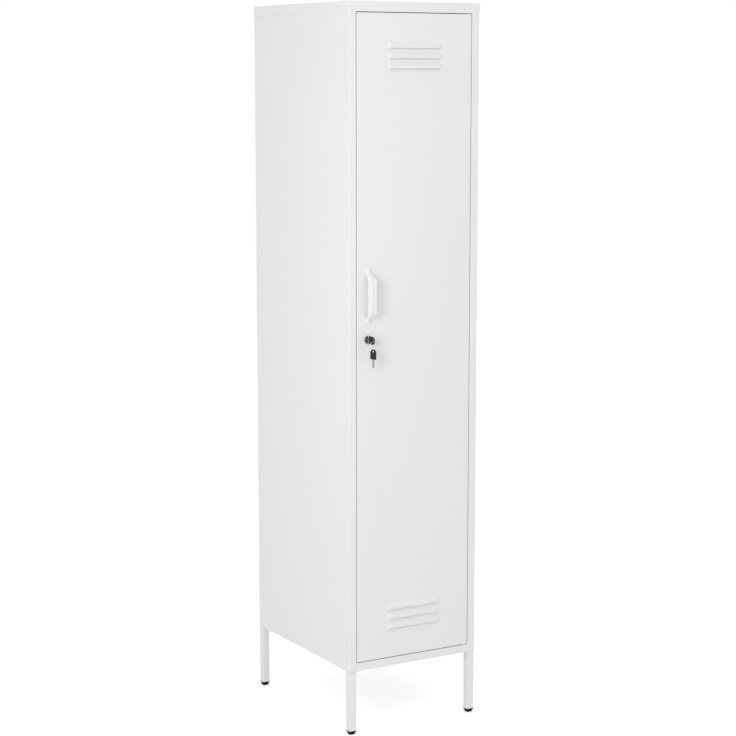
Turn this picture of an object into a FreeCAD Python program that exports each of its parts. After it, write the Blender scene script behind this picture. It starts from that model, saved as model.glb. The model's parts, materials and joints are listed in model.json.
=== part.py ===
"""A tall one-door steel locker on four legs, as an assembly of separate pieces.

Millimetres, +Z up, +X to the right and +Y to the back as one faces the door. The origin is on the floor,
under the middle of the outer box of the cabinet and its handle.
"""
import FreeCAD, Part
import Sketcher
import math
import os
from collections import namedtuple
from types import SimpleNamespace

# Driving sizes of the cabinet, in millimetres unless they are counts or angles.
SIZES = {
    # Carcass of folded sheet steel
    "body_width": 380.0,
    "body_depth": 500.0,
    "body_height": 1683.0,
    "leg_height": 167.0,
    "sheet": 0.8,
    "bend_radius": 1.6,
    "fit_gap": 0.3,
    "post_width": 21.0,
    "post_depth": 24.0,
    "stop_width": 8.0,
    "rear_flange": 20.0,
    "base_flange": 30.0,
    "top_flange": 20.0,
    "cap_skirt": 25.0,
    "cap_gap": 0.4,
    "sill_height": 21.0,
    # Holes for fixing the cabinet to a wall
    "wall_hole_radius": 3.5,
    "wall_hole_spacing": 240.0,
    "wall_hole_drop": 60.0,
    # Sheet metal screws of the back and the top
    "screw_radius": 2.0,
    "screw_length": 8.0,
    "screw_head_radius": 4.0,
    "screw_head_height": 2.2,
    "screw_clearance": 0.1,
    "back_screw_count": 5,
    "back_screw_margin": 90.0,
    # Legs, glides, bolts and nuts
    "leg_size": 20.0,
    "leg_inset": 0.6,
    "leg_wall": 1.2,
    "leg_corner": 1.8,
    "leg_plug": 8.0,
    "leg_plate": 2.0,
    "leg_plate_inset": 1.0,
    "leg_plate_width": 27.0,
    "leg_plate_length": 72.0,
    "leg_bolt_inset": 14.0,
    "leg_bolt_first": 36.0,
    "leg_bolt_pitch": 24.0,
    "foot_height": 10.0,
    "foot_rim": 2.5,
    "foot_flare": 2.0,
    "foot_tip": 15.0,
    "foot_stem": 14.0,
    "bolt_radius": 3.0,
    "bolt_clearance": 0.3,
    "thread_gap": 0.05,
    "bolt_length": 13.0,
    "bolt_flats": 10.0,
    "bolt_head": 4.0,
    "nut_height": 5.0,
    # Door
    "door_gap": 2.0,
    "door_thickness": 18.0,
    "door_lip": 12.0,
    "hinge_inset": 8.0,
    "hinge_depth": 6.0,
    "stiffener_crown": 30.0,
    "stiffener_flange": 14.0,
    "stiffener_height": 14.0,
    "stiffener_margin": 60.0,
    "buffer_radius": 3.0,
    "buffer_spacing": 1300.0,
    # Louvres
    "louvre_width": 156.0,
    "louvre_height": 15.0,
    "louvre_reach": 5.5,
    "louvre_slope": 6.0,
    "louvre_corner": 7.0,
    "louvre_pitch": 25.0,
    "louvre_count": 3,
    "upper_louvre_margin": 70.0,
    "lower_louvre_margin": 76.0,
    # Hinge pins, brackets and bushes
    "pin_radius": 2.5,
    "pin_head_radius": 4.5,
    "pin_head_height": 3.0,
    "pin_reach": 6.0,
    "running_gap": 0.05,
    "bracket_length": 34.0,
    "bracket_depth": 14.0,
    "bracket_plate": 2.0,
    "bracket_leg": 40.0,
    "bush_wall": 1.4,
    "bush_flange_radius": 5.0,
    "bush_length": 7.0,
    # Handle
    "handle_length": 141.0,
    "handle_width": 20.0,
    "handle_front_width": 12.0,
    "handle_reach": 34.0,
    "handle_bar": 17.0,
    "handle_rise": 21.0,
    "handle_foot": 8.5,
    "handle_foot_thickness": 3.5,
    "handle_leg": 8.0,
    "handle_above_lock": 109.0,
    "handle_bend": 8.0,
    "handle_round": 2.5,
    "handle_screw_radius": 2.0,
    "handle_screw_inset": 12.5,
    "handle_screw_depth": 6.0,
    # Cam lock
    "lock_inset": 31.0,
    "lock_height": 1018.5,
    "lock_face_radius": 11.0,
    "lock_face_height": 3.0,
    "lock_face_round": 1.2,
    "lock_barrel_radius": 9.0,
    "plug_radius": 6.0,
    "lock_nut_flats": 24.0,
    "lock_nut_height": 4.0,
    "cam_gap": 0.5,
    "cam_length": 40.0,
    "cam_width": 14.0,
    "cam_plate": 2.0,
    "tang_size": 7.0,
    "cam_screw_length": 8.0,
    # Keys and ring
    "key_reach": 27.0,
    "bow_length": 25.5,
    "bow_width": 20.0,
    "bow_thickness": 3.0,
    "bow_round": 0.8,
    "bow_hole_radius": 3.5,
    "bow_hole_margin": 6.0,
    "blade_length": 22.5,
    "blade_width": 7.0,
    "blade_thickness": 2.0,
    "blade_tip": 2.5,
    "blade_tang": 10.0,
    "keyway_gap": 0.1,
    "ring_radius": 11.5,
    "ring_wire_radius": 0.75,
    "ring_drop": 1.9,
    "ring_yaw": 12.0,
    # Shelf strips, shelves and clips
    "strip_width": 20.0,
    "strip_depth": 8.0,
    "strip_inset": 60.0,
    "strip_margin": 4.0,
    "slot_pitch": 50.0,
    "slot_first": 50.0,
    "slot_count": 31,
    "slot_width": 11.0,
    "slot_height": 4.0,
    "shelf_edge": 25.0,
    "shelf_gap": 1.0,
    "shelf_clearance": 8.0,
    "upper_shelf_slot": 25,
    "lower_shelf_slot": 4,
    "clip_width": 14.0,
    "clip_plate": 1.5,
    "clip_seat": 12.0,
    "clip_height": 18.0,
    "clip_hook": 3.0,
    "clip_hook_drop": 10.0,
    # Hanging rail under the upper shelf
    "rail_radius": 10.0,
    "rail_wall": 1.2,
    "rail_drop": 42.0,
    "rail_bracket_inset": 30.0,
    "rail_bracket_width": 34.0,
    "rail_bracket_plate": 2.0,
    "rail_bracket_flange": 18.0,
    "rivet_radius": 2.0,
    "rivet_head_radius": 3.6,
    "rivet_head_height": 1.4,
    "rivet_spacing": 20.0,
}

TOLERANCE = 1e-4
Circle = namedtuple("Circle", "x y radius")

doc = FreeCAD.newDocument("locker_cabinet")
sheet = doc.addObject("Spreadsheet::Sheet", "Sizes")
for row, (alias, number) in enumerate(SIZES.items(), 1):
    sheet.set(f"A{row}", alias)
    sheet.set(f"B{row}", str(number))
    sheet.setAlias(f"B{row}", alias)
doc.recompute()


class Size:
    """A size from the sheet, or one worked out from such sizes: its value and its formula."""

    def __init__(self, value, text):
        self.value = value
        self.text = text

    def __add__(self, other):
        other = as_size(other)
        return Size(self.value + other.value, f"({self.text} + {other.text})")

    def __sub__(self, other):
        other = as_size(other)
        return Size(self.value - other.value, f"({self.text} - {other.text})")

    def __mul__(self, other):
        other = as_size(other)
        return Size(self.value * other.value, f"({self.text} * {other.text})")

    def __truediv__(self, other):
        other = as_size(other)
        return Size(self.value / other.value, f"({self.text} / {other.text})")

    def __neg__(self):
        return self * -1

    def __radd__(self, other):
        return as_size(other) + self

    def __rsub__(self, other):
        return as_size(other) - self

    def __rmul__(self, other):
        return self * other


def as_size(length):
    """Let a plain number stand where a size is expected."""
    return length if isinstance(length, Size) else Size(float(length), f"({length})")


s = SimpleNamespace(**{alias: Size(float(sheet.get(alias)), f"Sizes.{alias}") for alias in SIZES})
nodes = []


# Sketches and features

def new_body(label):
    """Start a body that is only repeated in a group, and is no node by itself."""
    body = doc.addObject("PartDesign::Body", label)
    body.Label = label
    return body


def new_node(label):
    """Start a body that is one piece of the cabinet."""
    body = new_body(label)
    nodes.append(body)
    return body


def bind(thing, **lengths):
    """Tie properties of an object to sizes."""
    for name, length in lengths.items():
        thing.setExpression(name, as_size(length).text)


def place(piece, x=0, y=0, z=0, yaw=0):
    """Put a piece at a point, turned about the upright axis."""
    piece.Placement = FreeCAD.Placement(FreeCAD.Vector(), FreeCAD.Rotation(FreeCAD.Vector(0, 0, 1), 1))
    piece.setExpression("Placement.Rotation.Angle", as_size(yaw).text)
    for axis, length in zip("xyz", (x, y, z)):
        piece.setExpression(f"Placement.Base.{axis}", as_size(length).text)


def origin_feature(body, role):
    """Find one of a body's own planes or axes."""
    return next(feature for feature in body.Origin.OriginFeatures if feature.Role == role)


def fix(sketch, kind, edge, point, length):
    """Hold one point of a sketch's edge at a size from the sketch's origin."""
    length = as_size(length)
    constraint = sketch.addConstraint(Sketcher.Constraint(kind, -1, 1, edge, point, length.value))
    sketch.setExpression(f"Constraints[{constraint}]", length.text)


def vector(corner):
    """Give a corner as a point of the sketch."""
    return FreeCAD.Vector(as_size(corner[0]).value, as_size(corner[1]).value, 0)


def arc_edge(start, end, centre):
    """Run anticlockwise from one point to another about a centre."""
    reach = start - centre
    away = end - centre
    circle = Part.Circle(centre, FreeCAD.Vector(0, 0, 1), reach.Length)
    return Part.ArcOfCircle(circle, math.atan2(reach.y, reach.x), math.atan2(away.y, away.x))


def draw_outline(sketch, corners):
    """Draw a closed outline. A corner with a third item starts an arc about that centre."""
    first = sketch.GeometryCount
    count = len(corners)
    for index, corner in enumerate(corners):
        start = vector(corner)
        end = vector(corners[(index + 1) % count])
        if len(corner) == 3:
            sketch.addGeometry(arc_edge(start, end, vector(corner[2])))
        else:
            sketch.addGeometry(Part.LineSegment(start, end))
    for index, corner in enumerate(corners):
        edge = first + index
        following = first + (index + 1) % count
        sketch.addConstraint(Sketcher.Constraint("Coincident", edge, 2, following, 1))
        fix(sketch, "DistanceX", edge, 1, corner[0])
        fix(sketch, "DistanceY", edge, 1, corner[1])
        if len(corner) == 3:
            chord = vector(corners[(index + 1) % count]) - vector(corner)
            if abs(chord.x) < abs(chord.y):
                fix(sketch, "DistanceX", edge, 3, corner[2][0])
            else:
                fix(sketch, "DistanceY", edge, 3, corner[2][1])


def draw_circle(sketch, circle):
    """Draw a circle with its centre and radius tied to sizes."""
    radius = as_size(circle.radius)
    edge = sketch.addGeometry(Part.Circle(vector(circle), FreeCAD.Vector(0, 0, 1), radius.value))
    fix(sketch, "DistanceX", edge, 3, circle.x)
    fix(sketch, "DistanceY", edge, 3, circle.y)
    constraint = sketch.addConstraint(Sketcher.Constraint("Radius", edge, radius.value))
    sketch.setExpression(f"Constraints[{constraint}]", radius.text)


def rectangle(x0, x1, y0, y1):
    """List the corners of a rectangle."""
    return [(x0, y0), (x1, y0), (x1, y1), (x0, y1)]


def hexagon(flats):
    """List the corners of a hexagon of a given size across its flats."""
    half = flats / 2
    point = flats / math.sqrt(3)
    right = [(0, -point), (half, -point / 2), (half, point / 2)]
    return right + [(-x, -y) for x, y in right]


def draw(body, name, axis, level, loops):
    """Draw closed loops on the plane square to an axis, at a level along that axis."""
    plane = {"X": "YZ_Plane", "Y": "XZ_Plane", "Z": "XY_Plane"}[axis]
    sketch = body.newObject("Sketcher::SketchObject", f"{body.Name}_{name}_sketch")
    sketch.AttachmentSupport = [(origin_feature(body, plane), "")]
    sketch.MapMode = "FlatFace"
    # The plane square to Y faces the front, so its levels count the other way.
    offset = -as_size(level) if axis == "Y" else as_size(level)
    sketch.setExpression("AttachmentOffset.Base.z", offset.text)
    for loop in loops:
        if isinstance(loop, Circle):
            draw_circle(sketch, loop)
        else:
            draw_outline(sketch, loop)
    return sketch


def pad(body, name, axis, level, length, loops):
    """Add material from a level along an axis, towards the axis's positive end."""
    sketch = draw(body, name, axis, level, loops)
    feature = body.newObject("PartDesign::Pad", f"{body.Name}_{name}")
    feature.Profile = sketch
    feature.Reversed = axis == "Y"
    bind(feature, Length=length)
    return feature


def cut(body, name, axis, level, length, loops):
    """Take material away from a level along an axis, towards the axis's positive end."""
    sketch = draw(body, name, axis, level, loops)
    feature = body.newObject("PartDesign::Pocket", f"{body.Name}_{name}")
    feature.Profile = sketch
    feature.Reversed = axis != "Y"
    bind(feature, Length=length)
    return feature


def spin(body, name, along, corners):
    """Turn a profile of (radius, distance along the axis) corners about the body's own Y or Z axis."""
    sketch = draw(body, name, {"Y": "Z", "Z": "Y"}[along], 0, [corners])
    feature = body.newObject("PartDesign::Revolution", f"{body.Name}_{name}")
    feature.Profile = sketch
    feature.ReferenceAxis = (sketch, ["V_Axis"])
    feature.Angle = 360
    return feature


def loft(body, name, kind, sketches):
    """Join sketches by straight lines, as added or taken material."""
    feature = body.newObject(f"PartDesign::{kind}Loft", f"{body.Name}_{name}")
    feature.Profile = sketches[0]
    feature.Sections = sketches[1:]
    feature.Ruled = True
    return feature


def repeat_down(body, name, originals, pitch, count):
    """Repeat features downwards at a steady pitch."""
    doc.recompute()
    pattern = body.newObject("PartDesign::LinearPattern", f"{body.Name}_{name}")
    pattern.Originals = originals
    pattern.Direction = (origin_feature(body, "Z_Axis"), [""])
    pattern.Reversed = True
    bind(pattern, Length=pitch * (count - 1), Occurrences=count)
    body.Tip = pattern


def edge_at(**lengths):
    """Choose the edges that lie wholly at the given x, y or z."""
    wanted = {axis.upper(): as_size(length).value for axis, length in lengths.items()}

    def lies_there(edge):
        places = [(getattr(end, axis), value) for end in edge.Vertexes for axis, value in wanted.items()]
        return all(abs(found - value) < TOLERANCE for found, value in places)

    return lies_there


def round_edges(body, name, radius, *choices):
    """Round the edges of a body that any of the choices picks out."""
    doc.recompute()
    base = body.Tip
    edges = enumerate(base.Shape.Edges, 1)
    names = [f"Edge{number}" for number, edge in edges if any(choice(edge) for choice in choices)]
    fillet = body.newObject("PartDesign::Fillet", f"{body.Name}_{name}")
    fillet.Base = (base, names)
    bind(fillet, Radius=radius)


def group(label, master, places):
    """Repeat one piece at several (x, y, z, yaw) places, as one node of separate solids."""
    copies = []
    for number, spot in enumerate(places, 1):
        copy = doc.addObject("App::Link", f"{label}_{number}")
        copy.LinkedObject = master
        place(copy, *spot)
        copies.append(copy)
    node = doc.addObject("Part::Compound", label)
    node.Label = label
    node.Links = copies
    nodes.append(node)


# Places worked out from the driving sizes. Heights are above the underside of the carcass, and depths
# are behind its front.
half_width = s.body_width / 2
front = (s.handle_reach - s.body_depth) / 2
panel_top = s.body_height - s.sheet
header_bottom = s.body_height - s.cap_skirt
top_screw_height = header_bottom + s.cap_skirt / 2
opening_half = half_width - s.post_width
door_half = opening_half - s.door_gap
door_bottom = s.sill_height + s.door_gap
door_top = header_bottom - s.door_gap
back_front = s.body_depth - 2 * s.sheet
hinge_x = door_half - s.hinge_inset
lock_x = s.lock_inset - door_half
lock_z = s.lock_height - s.leg_height
handle_z = lock_z + s.handle_above_lock
bush_radius = s.pin_radius + s.running_gap + s.bush_wall
screw_hole = s.screw_radius + s.screw_clearance
bolt_hole = s.bolt_radius + s.bolt_clearance
strip_bottom = s.sill_height + s.strip_margin
strip_face = half_width - s.sheet - s.strip_depth
strip_front = s.strip_inset
strip_rear = s.body_depth - s.strip_inset - s.strip_width
cam_front = s.post_depth + s.cam_gap
ring_top = -s.ring_drop
spare_hole = ring_top - 2 * s.ring_radius - s.ring_drop
LEFT, RIGHT = -1, 1
HALF_TURN = 180


def from_side(side, inset):
    """Measure inwards from the outer face of the left or the right side."""
    return side * (half_width - inset)


def from_end(end, inset):
    """Measure inwards from the front or the back of the carcass."""
    return as_size(inset) if end == "front" else s.body_depth - inset


def set_in_carcass(piece):
    """Put a piece drawn in carcass heights and depths on its legs."""
    place(piece, 0, front, s.leg_height)


def back_screw_heights():
    """Space the screws of one side of the back evenly between its margins."""
    count = int(s.back_screw_count.value)
    pitch = (panel_top - 2 * s.back_screw_margin) / (s.back_screw_count - 1)
    return [s.back_screw_margin + pitch * step for step in range(count)]


def leg_bolt_depths(end):
    """Give the depths of one leg's two bolts."""
    first = s.leg_inset + s.leg_bolt_first
    return [from_end(end, first), from_end(end, first + s.leg_bolt_pitch)]


# Carcass panels

def side_panel(label, side):
    """Fold a side: front post, door jamb and stop in front, a flange behind, and flanges at both ends."""
    body = new_node(label)
    deep = s.body_depth
    outer = from_side(side, 0)
    inner = from_side(side, s.sheet)
    post_inner = from_side(side, s.post_width)
    post_hollow = from_side(side, s.post_width - s.sheet)
    stop_end = from_side(side, s.post_width + s.stop_width)
    flange_end = from_side(side, s.rear_flange)
    profile = [
        (outer, 0),
        (outer, deep),
        (flange_end, deep),
        (flange_end, deep - s.sheet),
        (inner, deep - s.sheet),
        (inner, s.sheet),
        (post_hollow, s.sheet),
        (post_hollow, s.post_depth),
        (stop_end, s.post_depth),
        (stop_end, s.post_depth - s.sheet),
        (post_inner, s.post_depth - s.sheet),
        (post_inner, 0),
    ]
    pad(body, "wall", "Z", 0, panel_top, [profile])
    outer_bends = [edge_at(x=outer, y=0), edge_at(x=outer, y=deep), edge_at(x=post_inner, y=0)]
    round_edges(body, "outer_bends", s.bend_radius, *outer_bends)
    inner_bends = [
        edge_at(x=inner, y=s.sheet),
        edge_at(x=inner, y=deep - s.sheet),
        edge_at(x=post_hollow, y=s.sheet),
    ]
    round_edges(body, "inner_bends", s.bend_radius - s.sheet, *inner_bends)
    flange_front = s.post_depth + s.fit_gap
    base = rectangle(inner, from_side(side, s.base_flange), flange_front, deep - s.sheet)
    pad(body, "base_flange", "Z", 0, s.sheet, [base])
    top = rectangle(inner, from_side(side, s.top_flange), flange_front, deep - s.sheet)
    pad(body, "top_flange", "Z", panel_top - s.sheet, s.sheet, [top])
    bolt_x = from_side(side, s.leg_inset + s.leg_bolt_inset)
    bolts = [Circle(bolt_x, depth, bolt_hole) for end in ("front", "back") for depth in leg_bolt_depths(end)]
    cut(body, "bolt_holes", "Z", 0, s.sheet, bolts)
    screw_x = from_side(side, s.rear_flange / 2)
    screws = [Circle(screw_x, height, screw_hole) for height in back_screw_heights() + [top_screw_height]]
    cut(body, "screw_holes", "Y", deep - s.sheet, s.sheet, screws)
    set_in_carcass(body)


def back_panel():
    """Close the back from inside, against the side panels' rear flanges, with holes for a wall fixing."""
    body = new_node("back_panel")
    half = half_width - s.bend_radius - s.fit_gap
    pad(body, "plate", "Y", back_front, s.sheet, [rectangle(-half, half, s.sheet, panel_top - s.sheet)])
    screw_x = half_width - s.rear_flange / 2
    heights = back_screw_heights() + [top_screw_height]
    screws = [Circle(side * screw_x, height, screw_hole) for side in (LEFT, RIGHT) for height in heights]
    cut(body, "screw_holes", "Y", back_front, s.sheet, screws)
    wall_z = panel_top - s.wall_hole_drop
    holes = [Circle(side * s.wall_hole_spacing / 2, wall_z, s.wall_hole_radius) for side in (LEFT, RIGHT)]
    cut(body, "wall_holes", "Y", back_front, s.sheet, holes)
    set_in_carcass(body)


def top_panel():
    """Cover the carcass with a shallow cap whose skirt goes over the side panels."""
    body = new_node("top_panel")
    inner_half = half_width + s.cap_gap
    outer_half = inner_half + s.sheet
    inner_front = -s.cap_gap
    outer_front = inner_front - s.sheet
    inner_back = s.body_depth + s.cap_gap
    outer_back = inner_back + s.sheet
    outer = rectangle(-outer_half, outer_half, outer_front, outer_back)
    inner = rectangle(-inner_half, inner_half, inner_front, inner_back)
    pad(body, "block", "Z", header_bottom, s.cap_skirt, [outer])
    upright = [edge_at(x=side * outer_half, y=y) for side in (LEFT, RIGHT) for y in (outer_front, outer_back)]
    top = [edge_at(x=side * outer_half, z=s.body_height) for side in (LEFT, RIGHT)]
    top += [edge_at(y=y, z=s.body_height) for y in (outer_front, outer_back)]
    round_edges(body, "bends", s.bend_radius, *upright, *top)
    cut(body, "hollow", "Z", header_bottom, s.cap_skirt - s.sheet, [inner])
    screw_x = half_width - s.rear_flange / 2
    screws = [Circle(side * screw_x, top_screw_height, screw_hole) for side in (LEFT, RIGHT)]
    cut(body, "screw_holes", "Y", inner_back, s.sheet, screws)
    set_in_carcass(body)


def base_tray():
    """Fold the floor of the cabinet: its front edge is the sill, its side edges stand on the side panels."""
    body = new_node("base_tray")
    sill_half = opening_half - s.fit_gap
    stop_half = opening_half - s.stop_width - s.fit_gap
    wide_half = half_width - s.sheet - s.fit_gap
    stop_front = s.post_depth - s.sheet - s.fit_gap
    post_back = s.post_depth + s.fit_gap
    rear = back_front - s.fit_gap
    right_edge = [
        (sill_half, 0),
        (sill_half, stop_front),
        (stop_half, stop_front),
        (stop_half, post_back),
        (wide_half, post_back),
        (wide_half, rear),
    ]
    left_edge = [(-x, y) for x, y in reversed(right_edge)]
    pad(body, "floor", "Z", s.sill_height - s.sheet, s.sheet, [right_edge + left_edge])
    sill = rectangle(-sill_half, sill_half, 0, s.sheet)
    pad(body, "sill", "Z", 0, s.sill_height - s.sheet, [sill])
    wall_half = wide_half - s.sheet
    sides = [rectangle(side * wall_half, side * wide_half, post_back, rear) for side in (LEFT, RIGHT)]
    pad(body, "sides", "Z", s.sheet, s.sill_height - 2 * s.sheet, sides)
    return_half = half_width - s.base_flange
    returns = [rectangle(side * return_half, side * wide_half, post_back, rear) for side in (LEFT, RIGHT)]
    pad(body, "returns", "Z", s.sheet, s.sheet, returns)
    round_edges(body, "sill_bend", s.bend_radius - s.sheet / 2, edge_at(y=0, z=s.sill_height))
    bolt_x = half_width - s.leg_inset - s.leg_bolt_inset
    bolts = [
        Circle(side * bolt_x, depth, bolt_hole)
        for side in (LEFT, RIGHT)
        for end in ("front", "back")
        for depth in leg_bolt_depths(end)
    ]
    cut(body, "bolt_holes", "Z", s.sheet, s.sheet, bolts)
    bush_hole = Circle(hinge_x, s.hinge_depth, bush_radius)
    cut(body, "bush_hole", "Z", s.sill_height - s.sheet, s.sheet, [bush_hole])
    set_in_carcass(body)


def top_rail():
    """Fold the rail over the door: a wall behind the cap's skirt, a web for the hinge bush and a stop lip."""
    body = new_node("top_rail")
    half = opening_half - s.fit_gap
    rear = s.post_depth - s.sheet
    profile = [
        (0, header_bottom),
        (rear - s.sheet, header_bottom),
        (rear - s.sheet, header_bottom - s.stop_width),
        (rear, header_bottom - s.stop_width),
        (rear, header_bottom + s.sheet),
        (s.sheet, header_bottom + s.sheet),
        (s.sheet, panel_top),
        (0, panel_top),
    ]
    pad(body, "channel", "X", -half, 2 * half, [profile])
    cut(body, "bush_hole", "Z", header_bottom, s.sheet, [Circle(hinge_x, s.hinge_depth, bush_radius)])
    set_in_carcass(body)


side_panel("left_side_panel", LEFT)
side_panel("right_side_panel", RIGHT)
back_panel()
top_panel()
base_tray()
top_rail()


# Legs, glides and their fasteners

def leg(label, side, end):
    """Weld a square tube, closed by a plug at its top, under the corner of a mounting plate."""
    body = new_node(label)
    wall = s.leg_wall
    outer = s.leg_inset
    far = s.leg_inset + s.leg_size

    def square(inset):
        x0, x1 = from_side(side, outer + inset), from_side(side, far - inset)
        y0, y1 = from_end(end, outer + inset), from_end(end, far - inset)
        return rectangle(x0, x1, y0, y1)

    tube_top = s.leg_height - s.leg_plate
    pad(body, "tube", "Z", s.foot_height, tube_top - s.foot_height, [square(as_size(0)), square(wall)])
    corners = [edge_at(x=x, y=y) for x, y in square(as_size(0))]
    round_edges(body, "tube_corners", s.leg_corner, *corners)
    hollow_corners = [edge_at(x=x, y=y) for x, y in square(wall)]
    round_edges(body, "hollow_corners", s.leg_corner - wall, *hollow_corners)
    pad(body, "plug", "Z", tube_top - s.leg_plug, s.leg_plug, [square(wall)])
    plate_start = outer + s.leg_plate_inset
    plate_x = from_side(side, outer + s.leg_plate_width)
    plate_y = from_end(end, outer + s.leg_plate_length)
    plate = rectangle(from_side(side, plate_start), plate_x, from_end(end, plate_start), plate_y)
    pad(body, "plate", "Z", tube_top, s.leg_plate, [plate])
    bolt_x = from_side(side, s.leg_inset + s.leg_bolt_inset)
    bolts = [Circle(bolt_x, depth, bolt_hole) for depth in leg_bolt_depths(end)]
    cut(body, "bolt_holes", "Z", tube_top, s.leg_plate, bolts)
    place(body, 0, front)


def foot(label, side, end):
    """Mould a glide: a square tip, a rim with the tube's outline, and a stem that plugs into the leg."""
    body = new_node(label)
    tip = s.foot_tip / 2
    top = s.leg_size / 2
    stem = s.leg_size / 2 - s.leg_wall - s.thread_gap
    rim_start = s.foot_height - s.foot_rim
    flare_start = rim_start - s.foot_flare
    pad(body, "tip", "Z", 0, flare_start, [rectangle(-tip, tip, -tip, tip)])
    lower = draw(body, "neck", "Z", flare_start, [rectangle(-tip, tip, -tip, tip)])
    upper = draw(body, "shoulder", "Z", rim_start, [rectangle(-top, top, -top, top)])
    loft(body, "flare", "Additive", [lower, upper])
    pad(body, "rim", "Z", rim_start, s.foot_rim, [rectangle(-top, top, -top, top)])
    pad(body, "stem", "Z", s.foot_height, s.foot_stem, [rectangle(-stem, stem, -stem, stem)])
    stem_corners = [edge_at(x=x * stem, y=y * stem) for x in (LEFT, RIGHT) for y in (LEFT, RIGHT)]
    round_edges(body, "stem_corners", s.leg_corner - s.leg_wall, *stem_corners)
    middle = s.leg_inset + s.leg_size / 2
    place(body, from_side(side, middle), front + from_end(end, middle))


def leg_fasteners():
    """Bolt each leg's plate to the carcass, through the side panel and the base tray."""
    bolt = new_body("leg_bolt")
    pad(bolt, "head", "Z", -s.bolt_head, s.bolt_head, [hexagon(s.bolt_flats)])
    pad(bolt, "shank", "Z", 0, s.bolt_length, [Circle(0, 0, s.bolt_radius)])
    nut = new_body("leg_nut")
    bore = Circle(0, 0, s.bolt_radius + s.thread_gap)
    pad(nut, "ring", "Z", 0, s.nut_height, [hexagon(s.bolt_flats), bore])
    spots = [
        (from_side(side, s.leg_inset + s.leg_bolt_inset), front + depth)
        for side in (LEFT, RIGHT)
        for end in ("front", "back")
        for depth in leg_bolt_depths(end)
    ]
    group("leg_bolts", bolt, [(x, y, s.leg_height - s.leg_plate) for x, y in spots])
    group("leg_nuts", nut, [(x, y, s.leg_height + 2 * s.sheet) for x, y in spots])


for end_name, leg_end in (("front", "front"), ("rear", "back")):
    for side_name, leg_side in (("left", LEFT), ("right", RIGHT)):
        leg(f"{end_name}_{side_name}_leg", leg_side, leg_end)
        foot(f"{end_name}_{side_name}_foot", leg_side, leg_end)
leg_fasteners()


def panel_screws():
    """Screw the back to the side panels' flanges, and the cap's skirt to their tops."""
    screw = new_body("panel_screw")
    profile = [
        (0, -s.screw_length),
        (s.screw_radius, -s.screw_length),
        (s.screw_radius, 0),
        (s.screw_head_radius, 0),
        (s.screw_head_radius, s.screw_head_height),
        (0, s.screw_head_height),
    ]
    spin(screw, "turned", "Y", profile)
    round_edges(screw, "head_round", s.screw_head_height / 2, edge_at(y=s.screw_head_height))
    x = half_width - s.rear_flange / 2
    back = front + s.body_depth
    heights = back_screw_heights()
    backs = [(side * x, back, s.leg_height + height) for side in (LEFT, RIGHT) for height in heights]
    group("back_panel_screws", screw, backs)
    cap_back = back + s.cap_gap + s.sheet
    tops = [(side * x, cap_back, s.leg_height + top_screw_height) for side in (LEFT, RIGHT)]
    group("top_panel_screws", screw, tops)


panel_screws()


# Shelf strips, shelves, clips and the hanging rail

def shelf_strip(label, side, depth):
    """Fold a slotted strip that is welded upright inside a side panel."""
    body = new_node(label)
    wall = from_side(side, s.sheet)
    face = side * strip_face
    web = side * (strip_face + s.sheet)
    rear = depth + s.strip_width
    profile = [
        (wall, depth),
        (face, depth),
        (face, rear),
        (wall, rear),
        (wall, rear - s.sheet),
        (web, rear - s.sheet),
        (web, depth + s.sheet),
        (wall, depth + s.sheet),
    ]
    length = 2 * s.slot_first + s.slot_pitch * (s.slot_count - 1)
    pad(body, "channel", "Z", strip_bottom, length, [profile])
    middle = depth + s.strip_width / 2
    top_slot = strip_bottom + length - s.slot_first
    y0, y1 = middle - s.slot_width / 2, middle + s.slot_width / 2
    slot = rectangle(y0, y1, top_slot - s.slot_height / 2, top_slot + s.slot_height / 2)
    web_low = -strip_face - s.sheet if side == LEFT else strip_face
    first = cut(body, "slot", "X", web_low, s.sheet, [slot])
    repeat_down(body, "slots", [first], s.slot_pitch, s.slot_count)
    set_in_carcass(body)


def seat_height(slot):
    """Give the height of the seats of the clips that hang in a slot."""
    return strip_bottom + s.slot_first + s.slot_pitch * slot + s.clip_hook_drop


def shelf(label, slot, holes):
    """Fold a shelf with its edges turned down, resting on its clips."""
    body = new_node(label)
    half = strip_face - s.shelf_gap
    y0 = s.post_depth + s.shelf_clearance
    y1 = back_front - s.shelf_clearance
    bottom = seat_height(slot)
    outer = rectangle(-half, half, y0, y1)
    inner = rectangle(-half + s.sheet, half - s.sheet, y0 + s.sheet, y1 - s.sheet)
    pad(body, "edges", "Z", bottom, s.shelf_edge, [outer])
    bends = [edge_at(y=y, z=bottom + s.shelf_edge) for y in (y0, y1)]
    round_edges(body, "bends", s.bend_radius, *bends)
    cut(body, "hollow", "Z", bottom, s.shelf_edge - s.sheet, [inner])
    if holes:
        cut(body, "rivet_holes", "Z", bottom + s.shelf_edge - s.sheet, s.sheet, holes)
    set_in_carcass(body)


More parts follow.
